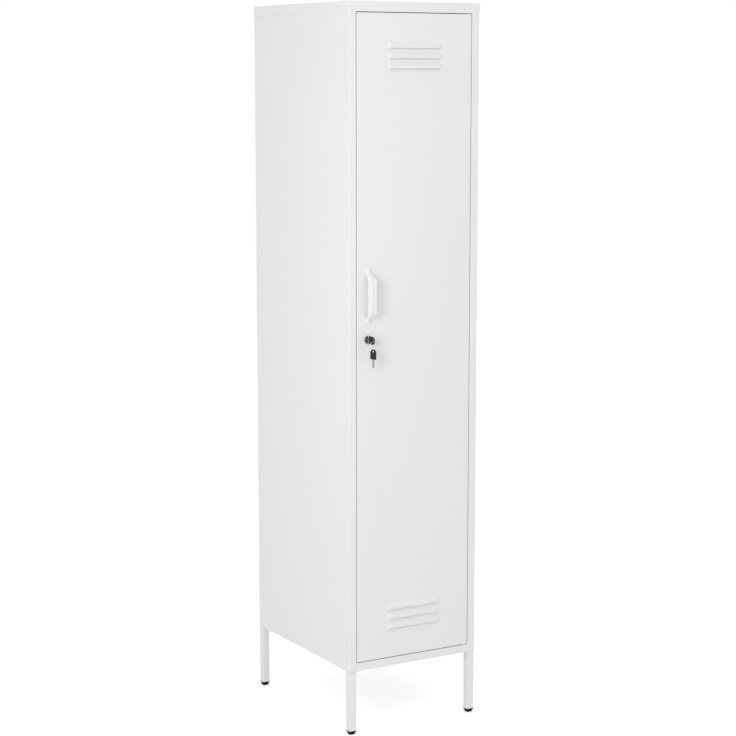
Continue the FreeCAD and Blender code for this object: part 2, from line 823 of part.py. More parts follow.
def shelf_clips():
    """Hook four clips into the strips for each shelf."""
    clip = new_body("shelf_clip")
    half = s.clip_width / 2
    hook_half = (s.slot_width - s.fit_gap) / 2
    hook_height = s.slot_height - s.fit_gap
    pad(clip, "seat", "Z", -s.clip_plate, s.clip_plate, [rectangle(0, s.clip_seat, -half, half)])
    plate_height = s.clip_height - s.clip_plate
    pad(clip, "plate", "Z", -s.clip_height, plate_height, [rectangle(0, s.clip_plate, -half, half)])
    hook_low = -s.clip_hook_drop - hook_height / 2
    pad(clip, "hook", "Z", hook_low, hook_height, [rectangle(-s.clip_hook, 0, -hook_half, hook_half)])
    depths = [front + depth + s.strip_width / 2 for depth in (strip_front, strip_rear)]
    for label, slot in (("upper_shelf_clips", s.upper_shelf_slot), ("lower_shelf_clips", s.lower_shelf_slot)):
        z = s.leg_height + seat_height(slot)
        left = [(-strip_face, depth, z, 0) for depth in depths]
        right = [(strip_face, depth, z, HALF_TURN) for depth in depths]
        group(label, clip, left + right)


rail_middle = s.body_depth / 2
rail_sheet = seat_height(s.upper_shelf_slot) + s.shelf_edge - s.sheet
rail_height = rail_sheet - s.shelf_edge - s.rail_drop
rail_plate_x = strip_face - s.shelf_gap - s.rail_bracket_inset


def rivet_spots():
    """Give the two rivets of each rail bracket, in carcass places."""
    x = rail_plate_x - s.rail_bracket_flange / 2
    depths = [rail_middle + side * s.rivet_spacing / 2 for side in (LEFT, RIGHT)]
    return [(side * x, depth) for side in (LEFT, RIGHT) for depth in depths]


def rail_bracket(label, side):
    """Fold a bracket that hangs the rail from the underside of the upper shelf."""
    body = new_node(label)
    half = s.rail_bracket_width / 2
    plate = s.rail_bracket_plate
    outer = side * rail_plate_x
    low_x = outer - plate if side == RIGHT else outer
    tongue = [
        (rail_middle + half, rail_height),
        (rail_middle + half, rail_sheet),
        (rail_middle - half, rail_sheet),
        (rail_middle - half, rail_height, (rail_middle, rail_height)),
    ]
    pad(body, "tongue", "X", low_x, plate, [tongue])
    flange_x = side * (rail_plate_x - s.rail_bracket_flange)
    flange = rectangle(outer, flange_x, rail_middle - half, rail_middle + half)
    pad(body, "flange", "Z", rail_sheet - plate, plate, [flange])
    rail_hole = Circle(rail_middle, rail_height, s.rail_radius + s.running_gap)
    cut(body, "rail_hole", "X", low_x, plate, [rail_hole])
    holes = [Circle(x, y, s.rivet_radius) for x, y in rivet_spots() if as_size(x).value * side > 0]
    cut(body, "rivet_holes", "Z", rail_sheet - plate, plate, holes)
    set_in_carcass(body)


def hanging_rail():
    """Run a tube through both brackets."""
    body = new_node("hanging_rail")
    radii = (s.rail_radius, s.rail_radius - s.rail_wall)
    loops = [Circle(rail_middle, rail_height, radius) for radius in radii]
    pad(body, "tube", "X", -rail_plate_x, 2 * rail_plate_x, loops)
    set_in_carcass(body)


def rail_rivets():
    """Rivet the brackets to the shelf, with a head above its sheet and one below the bracket."""
    rivet = new_body("rail_rivet")
    grip = s.sheet + s.rail_bracket_plate
    profile = [
        (0, -grip - s.rivet_head_height),
        (s.rivet_head_radius, -grip - s.rivet_head_height),
        (s.rivet_head_radius, -grip),
        (s.rivet_radius, -grip),
        (s.rivet_radius, 0),
        (s.rivet_head_radius, 0),
        (s.rivet_head_radius, s.rivet_head_height),
        (0, s.rivet_head_height),
    ]
    spin(rivet, "turned", "Z", profile)
    z = s.leg_height + rail_sheet + s.sheet
    group("rail_rivets", rivet, [(x, front + depth, z) for x, depth in rivet_spots()])


for side_name, strip_side in (("left", LEFT), ("right", RIGHT)):
    shelf_strip(f"front_{side_name}_shelf_strip", strip_side, strip_front)
    shelf_strip(f"rear_{side_name}_shelf_strip", strip_side, strip_rear)
shelf("upper_shelf", s.upper_shelf_slot, [Circle(x, y, s.rivet_radius) for x, y in rivet_spots()])
shelf("lower_shelf", s.lower_shelf_slot, [])
shelf_clips()
rail_bracket("left_rail_bracket", LEFT)
rail_bracket("right_rail_bracket", RIGHT)
hanging_rail()
rail_rivets()


# Door skin with its louvres

def louvre_outline(bottom, inset, thinning):
    """Outline a louvre: a straight open bottom, rounded upper corners, and its other three sides drawn in."""
    half = s.louvre_width / 2 - inset - thinning
    top = bottom + s.louvre_height - inset - thinning
    corner = s.louvre_corner - thinning
    return [
        (-half, bottom),
        (half, bottom),
        (half, top - corner, (half - corner, top - corner)),
        (half - corner, top),
        (-half + corner, top, (-half + corner, top - corner)),
        (-half, top - corner),
    ]


def louvre_bank(body, name, top_bottom):
    """Press a column of louvres outwards from the skin, each open along its lower edge."""
    reach = s.louvre_reach
    foot_outline = louvre_outline(top_bottom, as_size(0), as_size(0))
    crest_outline = louvre_outline(top_bottom, s.louvre_slope, as_size(0))
    outer = [
        draw(body, f"{name}_foot", "Y", 0, [foot_outline]),
        draw(body, f"{name}_crest", "Y", -reach, [crest_outline]),
    ]
    added = loft(body, f"{name}_shell", "Additive", outer)
    hollow_foot = louvre_outline(top_bottom, as_size(0), s.sheet)
    hollow_crest = louvre_outline(top_bottom, s.louvre_slope, s.sheet)
    inner = [
        draw(body, f"{name}_hollow_foot", "Y", s.sheet, [hollow_foot]),
        draw(body, f"{name}_hollow_crest", "Y", s.sheet - reach, [hollow_crest]),
    ]
    taken = loft(body, f"{name}_hollow", "Subtractive", inner)
    repeat_down(body, f"{name}_louvres", [added, taken], s.louvre_pitch, s.louvre_count)


def door_skin():
    """Fold the door as a pan with lips, and give it its louvres and holes."""
    body = new_node("door_skin")
    thick = s.door_thickness

    def frame_loop(inset):
        return rectangle(-door_half + inset, door_half - inset, door_bottom + inset, door_top - inset)

    rim = frame_loop(as_size(0))
    pad(body, "face", "Y", 0, s.sheet, [rim])
    pad(body, "walls", "Y", 0, thick, [rim, frame_loop(s.sheet)])
    pad(body, "lips", "Y", thick - s.sheet, s.sheet, [rim, frame_loop(s.door_lip)])
    face_edges = [edge_at(x=side * door_half, y=0) for side in (LEFT, RIGHT)]
    face_edges += [edge_at(y=0, z=z) for z in (door_bottom, door_top)]
    round_edges(body, "face_bends", s.bend_radius, *face_edges)
    handle_screw_hole = s.handle_screw_radius + s.bolt_clearance
    handle_spots = [handle_z + side * handle_screw_offset for side in (LEFT, RIGHT)]
    holes = [Circle(lock_x, height, handle_screw_hole) for height in handle_spots]
    holes.append(Circle(lock_x, lock_z, s.lock_barrel_radius + s.thread_gap))
    cut(body, "face_holes", "Y", 0, s.sheet, holes)
    pin_hole = Circle(hinge_x, s.hinge_depth, s.pin_radius + s.running_gap)
    cut(body, "lower_pin_hole", "Z", door_bottom, s.sheet, [pin_hole])
    cut(body, "upper_pin_hole", "Z", door_top - s.sheet, s.sheet, [pin_hole])
    bank_height = s.louvre_pitch * (s.louvre_count - 1)
    louvre_bank(body, "lower", door_bottom + s.lower_louvre_margin + bank_height)
    louvre_bank(body, "upper", door_top - s.upper_louvre_margin - s.louvre_height)
    set_in_carcass(body)


def door_stiffener():
    """Fold a hat channel that is welded behind the skin, between the two banks of louvres."""
    body = new_node("door_stiffener")
    near = s.sheet
    crown = s.stiffener_crown / 2
    flange = crown + s.stiffener_flange
    rear = s.sheet + s.stiffener_height
    right_half = [
        (crown - s.sheet, near),
        (flange, near),
        (flange, near + s.sheet),
        (crown, near + s.sheet),
        (crown, rear),
    ]
    left_half = [(-x, y) for x, y in reversed(right_half)]
    hollow = [(-(crown - s.sheet), rear - s.sheet), (crown - s.sheet, rear - s.sheet)]
    bank = s.louvre_pitch * (s.louvre_count - 1) + s.louvre_height
    bottom = door_bottom + s.lower_louvre_margin + bank + s.stiffener_margin
    top = door_top - s.upper_louvre_margin - bank - s.stiffener_margin
    pad(body, "hat", "Z", bottom, top - bottom, [right_half + left_half + hollow])
    set_in_carcass(body)


# Hinges

def hinge_bracket(label, edge, upwards):
    """Weld an angle inside the door's corner, to stiffen the wall that the hinge pin goes through."""
    body = new_node(label)
    plate = s.bracket_plate
    right = door_half - s.sheet
    left = right - s.bracket_length
    rear = s.sheet + s.bracket_depth
    shelf_low = edge - plate if upwards else edge
    leg_low = edge - s.bracket_leg if upwards else edge
    pad(body, "shelf", "Z", shelf_low, plate, [rectangle(left, right, s.sheet, rear)])
    pad(body, "leg", "Z", leg_low, s.bracket_leg, [rectangle(right - plate, right, s.sheet, rear)])
    hole = Circle(hinge_x, s.hinge_depth, s.pin_radius + s.running_gap)
    cut(body, "pin_hole", "Z", shelf_low, plate, [hole])
    set_in_carcass(body)


def hinge_pin(label, seat, upwards):
    """Turn a headed pin that goes through the bracket and the door's wall into the bush."""
    body = new_node(label)
    way = 1 if upwards else -1
    length = s.bracket_plate + s.sheet + s.door_gap + s.sheet + s.pin_reach
    profile = [
        (0, -way * s.pin_head_height),
        (s.pin_head_radius, -way * s.pin_head_height),
        (s.pin_head_radius, 0),
        (s.pin_radius, 0),
        (s.pin_radius, way * length),
        (0, way * length),
    ]
    spin(body, "turned", "Z", profile)
    place(body, hinge_x, front + s.hinge_depth, s.leg_height + seat)


def hinge_bush(label, flange_low, flange_high, sleeve_low, sleeve_high):
    """Mould a flanged nylon bush for one hinge pin."""
    body = new_node(label)
    bore = Circle(0, 0, s.pin_radius + s.running_gap)
    pad(body, "sleeve", "Z", sleeve_low, sleeve_high - sleeve_low, [Circle(0, 0, bush_radius), bore])
    pad(body, "flange", "Z", flange_low, flange_high - flange_low, [Circle(0, 0, s.bush_flange_radius), bore])
    place(body, hinge_x, front + s.hinge_depth, s.leg_height)


def hinges():
    """Hang the door on two pins, the lower bush carrying its weight."""
    upper_wall = door_top - s.sheet
    lower_wall = door_bottom + s.sheet
    hinge_bracket("upper_hinge_bracket", upper_wall, True)
    hinge_bracket("lower_hinge_bracket", lower_wall, False)
    hinge_pin("upper_hinge_pin", upper_wall - s.bracket_plate, True)
    hinge_pin("lower_hinge_pin", lower_wall + s.bracket_plate, False)
    flange_height = s.door_gap - s.fit_gap
    web = header_bottom + s.sheet
    hinge_bush("upper_hinge_bush", web, web + flange_height, header_bottom, header_bottom + s.bush_length)
    floor = s.sill_height
    hinge_bush("lower_hinge_bush", floor, floor + flange_height, floor - s.bush_length, floor + flange_height)


def door_buffers():
    """Stick two rubber buffers on the stop of the left post, to meet the door's lip."""
    buffer = new_body("door_buffer")
    thickness = s.post_depth - s.sheet - s.door_thickness - s.fit_gap
    pad(buffer, "disc", "Y", -thickness, thickness, [Circle(0, 0, s.buffer_radius)])
    round_edges(buffer, "soft_edge", s.buffer_radius / 4, edge_at(y=-thickness))
    x = from_side(LEFT, s.post_width + s.stop_width / 2)
    y = front + s.post_depth - s.sheet
    middle = s.leg_height + (door_bottom + door_top) / 2
    heights = [middle + side * s.buffer_spacing / 2 for side in (LEFT, RIGHT)]
    group("door_buffers", buffer, [(x, y, height) for height in heights])


# Handle

handle_screw_offset = s.handle_length / 2 - s.handle_screw_inset


def door_handle():
    """Form a bridge handle: flat feet and rising ends carry a straight bar that narrows to the front."""
    body = new_node("door_handle")
    half = s.handle_length / 2
    reach = s.handle_reach
    thickness = s.handle_foot_thickness
    inner_reach = reach - s.handle_bar
    rise_start = half - s.handle_foot
    outer_end = rise_start - s.handle_rise
    lean = s.handle_rise / (reach - thickness)
    inner_foot = rise_start + thickness * lean - s.handle_leg
    inner_end = inner_foot - inner_reach * lean
    profile = [
        (0, -half),
        (0, -inner_foot),
        (-inner_reach, -inner_end),
        (-inner_reach, inner_end),
        (0, inner_foot),
        (0, half),
        (-thickness, half),
        (-thickness, rise_start),
        (-reach, outer_end),
        (-reach, -outer_end),
        (-thickness, -rise_start),
        (-thickness, -half),
    ]
    pad(body, "bridge", "X", -s.handle_width / 2, s.handle_width, [profile])
    bends = []
    for side in (LEFT, RIGHT):
        bends.append(edge_at(y=-thickness, z=side * rise_start))
        bends.append(edge_at(y=-reach, z=side * outer_end))
        bends.append(edge_at(y=-inner_reach, z=side * inner_end))
    round_edges(body, "bends", s.handle_bend, *bends)
    wedges = []
    for side in (LEFT, RIGHT):
        wide = side * s.handle_width / 2
        wedges.append([(wide, 0), (side * s.handle_front_width / 2, -reach), (wide, -reach)])
    cut(body, "slanted_flanks", "Z", -half, s.handle_length, wedges)
    on_door = edge_at(y=0)

    def flank_edge(edge):
        return not on_door(edge) and len({end.X > 0 for end in edge.Vertexes}) == 1

    round_edges(body, "flanks", s.handle_round, flank_edge)
    bore_radius = s.handle_screw_radius + s.thread_gap
    bores = [Circle(0, side * handle_screw_offset, bore_radius) for side in (LEFT, RIGHT)]
    cut(body, "screw_bores", "Y", -s.handle_screw_depth, s.handle_screw_depth, bores)
    place(body, lock_x, front, s.leg_height + handle_z)


def handle_screws():
    """Screw the handle on from inside the door."""
    screw = new_body("handle_screw")
    grip = s.sheet
    tip = grip - s.handle_screw_depth
    profile = [
        (0, tip),
        (s.handle_screw_radius, tip),
        (s.handle_screw_radius, grip),
        (s.screw_head_radius, grip),
        (s.screw_head_radius, grip + s.screw_head_height),
        (0, grip + s.screw_head_height),
    ]
    spin(screw, "turned", "Y", profile)
    heights = [s.leg_height + handle_z + side * handle_screw_offset for side in (LEFT, RIGHT)]
    group("handle_screws", screw, [(lock_x, front, height) for height in heights])


# Cam lock

def set_in_lock(piece):
    """Put a piece drawn about the lock's axis at the lock's place in the door."""
    place(piece, lock_x, front, s.lock_height)


def lock_barrel():
    """Turn the lock's barrel, with a flat round face that sits on the door."""
    body = new_node("lock_barrel")
    bore = s.plug_radius + s.running_gap
    rear = cam_front - s.cam_gap
    profile = [
        (bore, -s.lock_face_height),
        (s.lock_face_radius, -s.lock_face_height),
        (s.lock_face_radius, 0),
        (s.lock_barrel_radius, 0),
        (s.lock_barrel_radius, rear),
        (bore, rear),
    ]
    spin(body, "turned", "Y", profile)
    rim = edge_at(y=-s.lock_face_height)

    def outer_rim(edge):
        return rim(edge) and edge.Length > 2 * math.pi * s.lock_barrel_radius.value

    round_edges(body, "face_round", s.lock_face_round, outer_rim)
    set_in_lock(body)


def lock_nut():
    """Hold the barrel from inside the door with a thin hexagon nut."""
    body = new_node("lock_nut")
    bore = Circle(0, 0, s.lock_barrel_radius + s.thread_gap)
    pad(body, "ring", "Y", s.sheet, s.lock_nut_height, [hexagon(s.lock_nut_flats), bore])
    set_in_lock(body)


def lock_plug():
    """Turn the plug, with a keyway in front and a square tang for the cam behind."""
    body = new_node("lock_plug")
    face = -s.lock_face_height
    profile = [(0, face), (s.plug_radius, face), (s.plug_radius, cam_front), (0, cam_front)]
    spin(body, "turned", "Y", profile)
    tang = s.tang_size / 2
    pad(body, "tang", "Y", cam_front, s.cam_plate, [rectangle(-tang, tang, -tang, tang)])
    half_thick = s.blade_thickness / 2 + s.keyway_gap
    half_wide = s.blade_width / 2 + s.keyway_gap
    blade_end = s.bow_length - s.bow_hole_margin - s.key_reach + s.blade_length
    depth = blade_end + s.keyway_gap - face
    cut(body, "keyway", "Y", face, depth, [rectangle(-half_thick, half_thick, -half_wide, half_wide)])
    bore_start = cam_front + s.cam_plate - s.cam_screw_length
    bore = Circle(0, 0, s.screw_radius + s.thread_gap)
    cut(body, "screw_bore", "Y", bore_start, s.cam_screw_length, [bore])
    set_in_lock(body)


def lock_cam():
    """Cut the cam: a round-ended arm with a square hole, which hangs down when the lock is open."""
    body = new_node("lock_cam")
    half = s.cam_width / 2
    tip = s.cam_length - half
    arm = [
        (-half, 0),
        (-half, -tip, (0, -tip)),
        (half, -tip),
        (half, 0, (0, 0)),
    ]
    hole = s.tang_size / 2 + s.running_gap
    pad(body, "arm", "Y", cam_front, s.cam_plate, [arm, rectangle(-hole, hole, -hole, hole)])
    set_in_lock(body)


def cam_screw():
    """Hold the cam on the plug's tang."""
    body = new_node("cam_screw")
    seat = cam_front + s.cam_plate
    tip = seat - s.cam_screw_length
    head_radius = s.tang_size / 2 + s.screw_radius
    profile = [
        (0, tip),
        (s.screw_radius, tip),
        (s.screw_radius, seat),
        (head_radius, seat),
        (head_radius, seat + s.screw_head_height),
        (0, seat + s.screw_head_height),
    ]
    spin(body, "turned", "Y", profile)
    set_in_lock(body)


# Keys and key ring

def key(prefix, hanging):
    """Make a key about the hole of its bow. It points backwards, or downwards where it hangs."""

    def turned(along, across):
        return (across, -along) if hanging else (along, across)

    def strip(start, end, half):
        return [turned(start, -half), turned(end, -half), turned(end, half), turned(start, half)]

    half_bow = s.bow_width / 2
    outer_end = -s.bow_hole_margin
    inner_end = s.bow_length - s.bow_hole_margin
    round_middle = outer_end + half_bow
    bow_outline = [
        turned(inner_end, -half_bow),
        turned(inner_end, half_bow),
        (*turned(round_middle, half_bow), turned(round_middle, 0)),
        turned(round_middle, -half_bow),
    ]
    bow = new_node(f"{prefix}_bow")
    half_thick = s.bow_thickness / 2
    pad(bow, "plate", "X", -half_thick, s.bow_thickness, [bow_outline])
    flanks = [edge_at(x=side * half_thick) for side in (LEFT, RIGHT)]
    round_edges(bow, "soft_edges", s.bow_round, *flanks)
    cut(bow, "ring_hole", "X", -half_thick, s.bow_thickness, [Circle(0, 0, s.bow_hole_radius)])
    half_blade = s.blade_width / 2
    tang_start = inner_end - s.blade_tang
    half_metal = s.blade_thickness / 2
    cut(bow, "tang_slot", "X", -half_metal, s.blade_thickness, [strip(tang_start, inner_end, half_blade)])
    blade = new_node(f"{prefix}_blade")
    shoulder = inner_end + s.blade_length - s.blade_tip
    tip = inner_end + s.blade_length
    narrow = half_blade - s.blade_tip
    blade_outline = [
        turned(tang_start, -half_blade),
        turned(shoulder, -half_blade),
        turned(tip, -narrow),
        turned(tip, narrow),
        turned(shoulder, half_blade),
        turned(tang_start, half_blade),
    ]
    pad(blade, "plate", "X", -half_metal, s.blade_thickness, [blade_outline])
    return bow, blade


def key_ring():
    """Bend a wire ring that hangs in the bow of the key."""
    body = new_node("key_ring")
    sketch = draw(body, "wire", "X", 0, [Circle(0, s.ring_radius, s.ring_wire_radius)])
    feature = body.newObject("PartDesign::Revolution", "key_ring_turned")
    feature.Profile = sketch
    feature.ReferenceAxis = (sketch, ["H_Axis"])
    feature.Angle = 360
    return body


door_skin()
door_stiffener()
hinges()
door_buffers()
door_handle()
handle_screws()
lock_barrel()
lock_nut()
lock_plug()
lock_cam()
cam_screw()
bow_y = front - s.key_reach
for piece in key("key", False):
    place(piece, lock_x, bow_y, s.lock_height)
place(key_ring(), lock_x, bow_y, s.lock_height + ring_top - s.ring_radius, s.ring_yaw)
for piece in key("spare_key", True):
    place(piece, lock_x, bow_y, s.lock_height + spare_hole, s.ring_yaw)

# Check the document and every piece, then write the pieces.
doc.recompute()
faults = []
for thing in doc.Objects:
    if {"Invalid", "Error"} & set(thing.State):
        faults.append(f"{thing.Name}: {thing.State}")
    if thing.TypeId in ("PartDesign::Pocket", "PartDesign::SubtractiveLoft"):
        if thing.Shape.Volume >= thing.BaseFeature.Shape.Volume - TOLERANCE:
            faults.append(f"{thing.Name} takes nothing away")
for node in nodes:
    if node.Shape.isNull() or not node.Shape.isValid() or not node.Shape.Solids:
        faults.append(f"{node.Label} has no valid solid")
if faults:
    raise RuntimeError("; ".join(faults))

os.makedirs("parts", exist_ok=True)
for node in nodes:
    node.Shape.exportStep(f"parts/{node.Label}.step")
print(f"{len(nodes)} pieces, {sum(len(node.Shape.Solids) for node in nodes)} solids")
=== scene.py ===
# %% [markdown]
# # A one-door steel locker
#
# This lesson dresses a tall sheet-steel locker: white powder coat, two banks of pressed louvres, a bridge handle, and
# a cam lock with two keys on a wire ring. The solid model is already there, with every piece in its place and every
# joint known. Here the pieces that the eye rests on are modelled again with softer edges and finer detail, each piece
# gets a finish, and the whole is lit and photographed.

# %% Load the solid model
import json
import math

import bmesh
import bpy
from mathutils import Matrix, Vector


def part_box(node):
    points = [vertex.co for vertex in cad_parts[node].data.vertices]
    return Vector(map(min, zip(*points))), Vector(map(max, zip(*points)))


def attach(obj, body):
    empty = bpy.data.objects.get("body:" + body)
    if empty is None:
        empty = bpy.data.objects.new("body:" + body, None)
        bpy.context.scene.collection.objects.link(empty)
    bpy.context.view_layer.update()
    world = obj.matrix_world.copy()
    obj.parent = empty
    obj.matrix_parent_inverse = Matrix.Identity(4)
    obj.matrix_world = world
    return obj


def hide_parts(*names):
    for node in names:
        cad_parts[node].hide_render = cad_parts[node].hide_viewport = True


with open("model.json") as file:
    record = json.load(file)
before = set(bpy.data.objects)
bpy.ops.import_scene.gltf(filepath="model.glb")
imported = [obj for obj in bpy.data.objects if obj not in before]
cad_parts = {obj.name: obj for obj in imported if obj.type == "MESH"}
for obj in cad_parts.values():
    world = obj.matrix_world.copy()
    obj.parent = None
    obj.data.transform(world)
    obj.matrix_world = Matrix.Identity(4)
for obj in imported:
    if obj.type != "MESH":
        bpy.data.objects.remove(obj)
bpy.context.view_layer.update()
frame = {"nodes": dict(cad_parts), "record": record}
nodes = frame["nodes"]
MM = 0.001

# %% [markdown]
# ## Finishes: one group for every surface
#
# No real surface has the same colour and gloss all over. Paint has a fine orange-peel texture, moulded plastic has a
# grain, zinc has cloudy patches. All of these are one idea: a fine noise for the height, and a broad noise that
# shifts colour and roughness a little. So the idea is built once, as a node group, and each finish gives it its own
# numbers. First come three helpers that any node group needs: one starts a group with named sockets, and two add a
# node and wire it.


# %% Helpers for node groups
def new_group(name, inputs, outputs):
    """Start a shader node group with named sockets."""
    group = bpy.data.node_groups.new(name, "ShaderNodeTree")
    for label, kind, start in inputs:
        socket = group.interface.new_socket(name=label, in_out="INPUT", socket_type=kind)
        socket.default_value = start
    for label, kind in outputs:
        group.interface.new_socket(name=label, in_out="OUTPUT", socket_type=kind)
    return group, group.nodes.new("NodeGroupInput"), group.nodes.new("NodeGroupOutput")


def math_node(tree, operation, first, second):
    """Add a math node whose inputs are sockets or plain numbers, and give back its result."""
    node = tree.nodes.new("ShaderNodeMath")
    node.operation = operation
    for socket, term in zip(node.inputs, (first, second)):
        if isinstance(term, (int, float)):
            socket.default_value = term
        else:
            tree.links.new(term, socket)
    return node.outputs[0]


def noise_node(tree, vector, scale, detail):
    """Add a noise texture on a vector, at the scale that a socket gives."""
    node = tree.nodes.new("ShaderNodeTexNoise")
    node.inputs["Detail"].default_value = detail
    tree.links.new(vector, node.inputs["Vector"])
    tree.links.new(scale, node.inputs["Scale"])
    return node.outputs["Fac"]


print(len(bpy.data.node_groups), "node groups so far")

# %% [markdown]
# The group itself has two noises on the same coordinates. The fine one goes out as a height for the bump. The broad
# one swings about its middle and shifts colour and roughness by the amounts that the finish gives. The noise reads
# object coordinates, in metres, so a scale of 800 means grains a little over 1 mm apart.

# %% Group for grain and patches
GRAIN_DETAIL = 2.0
PATCH_DETAIL = 3.0
NOISE_MIDDLE = 0.5


def build_grain():
    """Fine grain for the bump, and broad patches that shift the colour and the roughness."""
    group, given, put = new_group(
        "grain_and_patches",
        [
            ("Colour", "NodeSocketColor", (0.8, 0.8, 0.8, 1)),
            ("Colour Shift", "NodeSocketFloat", 0.02),
            ("Roughness", "NodeSocketFloat", 0.4),
            ("Roughness Spread", "NodeSocketFloat", 0.05),
            ("Grain Scale", "NodeSocketFloat", 800.0),
            ("Patch Scale", "NodeSocketFloat", 6.0),
            ("Stretch", "NodeSocketVector", (1, 1, 1)),
        ],
        [("Colour", "NodeSocketColor"), ("Roughness", "NodeSocketFloat"), ("Height", "NodeSocketFloat")],
    )
    place = group.nodes.new("ShaderNodeTexCoord")
    stretch = group.nodes.new("ShaderNodeVectorMath")
    stretch.operation = "MULTIPLY"
    group.links.new(place.outputs["Object"], stretch.inputs[0])
    group.links.new(given.outputs["Stretch"], stretch.inputs[1])
    grain = noise_node(group, stretch.outputs[0], given.outputs["Grain Scale"], GRAIN_DETAIL)
    patches = noise_node(group, stretch.outputs[0], given.outputs["Patch Scale"], PATCH_DETAIL)
    offset = math_node(group, "SUBTRACT", patches, NOISE_MIDDLE)
    swing = math_node(group, "DIVIDE", offset, NOISE_MIDDLE)
    shade = math_node(group, "ADD", math_node(group, "MULTIPLY", swing, given.outputs["Colour Shift"]), 1.0)
    tint = group.nodes.new("ShaderNodeVectorMath")
    tint.operation = "SCALE"
    group.links.new(given.outputs["Colour"], tint.inputs[0])
    group.links.new(shade, tint.inputs["Scale"])
    gloss = math_node(group, "MULTIPLY", swing, given.outputs["Roughness Spread"])
    group.links.new(tint.outputs[0], put.inputs["Colour"])
    group.links.new(math_node(group, "ADD", gloss, given.outputs["Roughness"]), put.inputs["Roughness"])
    group.links.new(grain, put.inputs["Height"])
    return group


grain_group = build_grain()
print("node group", grain_group.name, "with", len(grain_group.nodes), "nodes")

# %% [markdown]
# ## Finishes: worn and rubbed edges
#
# Edges are where a finish gives itself away. Moulded black plastic goes a little grey there, and plated steel is
# rubbed brighter. The bevel node looks at the surface within a small radius and gives a rounded normal; where that
# differs from the true normal there is an edge. The group turns the difference into a mask and mixes a second colour
# in by it.

# %% Group for rubbed edges
EDGE_SAMPLES = 4
FULL_TURN = 0.2


def build_edges():
    """Mix a rubbed colour in along edges, as wide as the given radius."""
    group, given, put = new_group(
        "rubbed_edges",
        [
            ("Colour", "NodeSocketColor", (0.8, 0.8, 0.8, 1)),
            ("Edge Colour", "NodeSocketColor", (0.8, 0.8, 0.8, 1)),
            ("Radius", "NodeSocketFloat", 0.0005),
            ("Amount", "NodeSocketFloat", 0.5),
        ],
        [("Colour", "NodeSocketColor")],
    )
    rounded = group.nodes.new("ShaderNodeBevel")
    rounded.samples = EDGE_SAMPLES
    group.links.new(given.outputs["Radius"], rounded.inputs["Radius"])
    surface = group.nodes.new("ShaderNodeNewGeometry")
    likeness = group.nodes.new("ShaderNodeVectorMath")
    likeness.operation = "DOT_PRODUCT"
    group.links.new(rounded.outputs["Normal"], likeness.inputs[0])
    group.links.new(surface.outputs["Normal"], likeness.inputs[1])
    turn = math_node(group, "SUBTRACT", 1.0, likeness.outputs["Value"])
    edge = group.nodes.new("ShaderNodeMath")
    edge.operation = "DIVIDE"
    edge.use_clamp = True
    group.links.new(turn, edge.inputs[0])
    edge.inputs[1].default_value = FULL_TURN
    mix = group.nodes.new("ShaderNodeMix")
    mix.data_type = "RGBA"
    group.links.new(math_node(group, "MULTIPLY", edge.outputs[0], given.outputs["Amount"]), mix.inputs["Factor"])
    group.links.new(given.outputs["Colour"], mix.inputs["A"])
    group.links.new(given.outputs["Edge Colour"], mix.inputs["B"])
    group.links.new(mix.outputs["Result"], put.inputs["Colour"])
    return group


edge_group = build_edges()
print("node group", edge_group.name, "with", len(edge_group.nodes), "nodes")

# %% [markdown]
# ## Finishes: the materials
#
# Each material is a Principled shader with the grain group in front of it. Numbers that are the same all over the
# surface, such as metallic and specular level, stand on the shader itself. The first is the white, a neutral powder
# coat with a satin gloss.


# %% The white coat
def make_finish(
    name, colour, shift, rough, spread, grain, patch, bump, metallic=0.0, stretch=(1, 1, 1), edge=None, shine=0.5
):
    """Make one finish: grain and patches, a bump in metres, and rubbed edges where an edge colour is given."""
    finish = bpy.data.materials.new(name)
    finish.use_nodes = True
    tree = finish.node_tree
    shader = tree.nodes["Principled BSDF"]
    surface = tree.nodes.new("ShaderNodeGroup")
    surface.node_tree = grain_group
    surface.inputs["Colour"].default_value = (*colour, 1)
    surface.inputs["Colour Shift"].default_value = shift
    surface.inputs["Roughness"].default_value = rough
    surface.inputs["Roughness Spread"].default_value = spread
    surface.inputs["Grain Scale"].default_value = grain
    surface.inputs["Patch Scale"].default_value = patch
    surface.inputs["Stretch"].default_value = stretch
    colour_out = surface.outputs["Colour"]
    if edge:
        edge_colour, radius, amount = edge
        rub = tree.nodes.new("ShaderNodeGroup")
        rub.node_tree = edge_group
        tree.links.new(colour_out, rub.inputs["Colour"])
        rub.inputs["Edge Colour"].default_value = (*edge_colour, 1)
        rub.inputs["Radius"].default_value = radius
        rub.inputs["Amount"].default_value = amount
        colour_out = rub.outputs["Colour"]
    tree.links.new(colour_out, shader.inputs["Base Color"])
    tree.links.new(surface.outputs["Roughness"], shader.inputs["Roughness"])
    shader.inputs["Metallic"].default_value = metallic
    shader.inputs["Specular IOR Level"].default_value = shine
    relief = tree.nodes.new("ShaderNodeBump")
    relief.inputs["Distance"].default_value = bump
    tree.links.new(surface.outputs["Height"], relief.inputs["Height"])
    tree.links.new(relief.outputs["Normal"], shader.inputs["Normal"])
    return finish


white_coat = make_finish(
    "white_coat", colour=(0.83, 0.83, 0.83), shift=0.012, rough=0.56, spread=0.04, grain=800, patch=5, bump=0.00003,
    shine=0.3)
print(white_coat.name, "has", len(white_coat.node_tree.nodes), "nodes")

# %% [markdown]
# The other finishes are small: black glides and key bows, chrome on the lock, zinc on the fasteners. A rub is the
# colour of a worn edge, its width in metres and its amount. Steel that was brushed or polished along one direction
# gets a grain that is stretched along it: a small number in `stretch` makes the grain long on that axis.

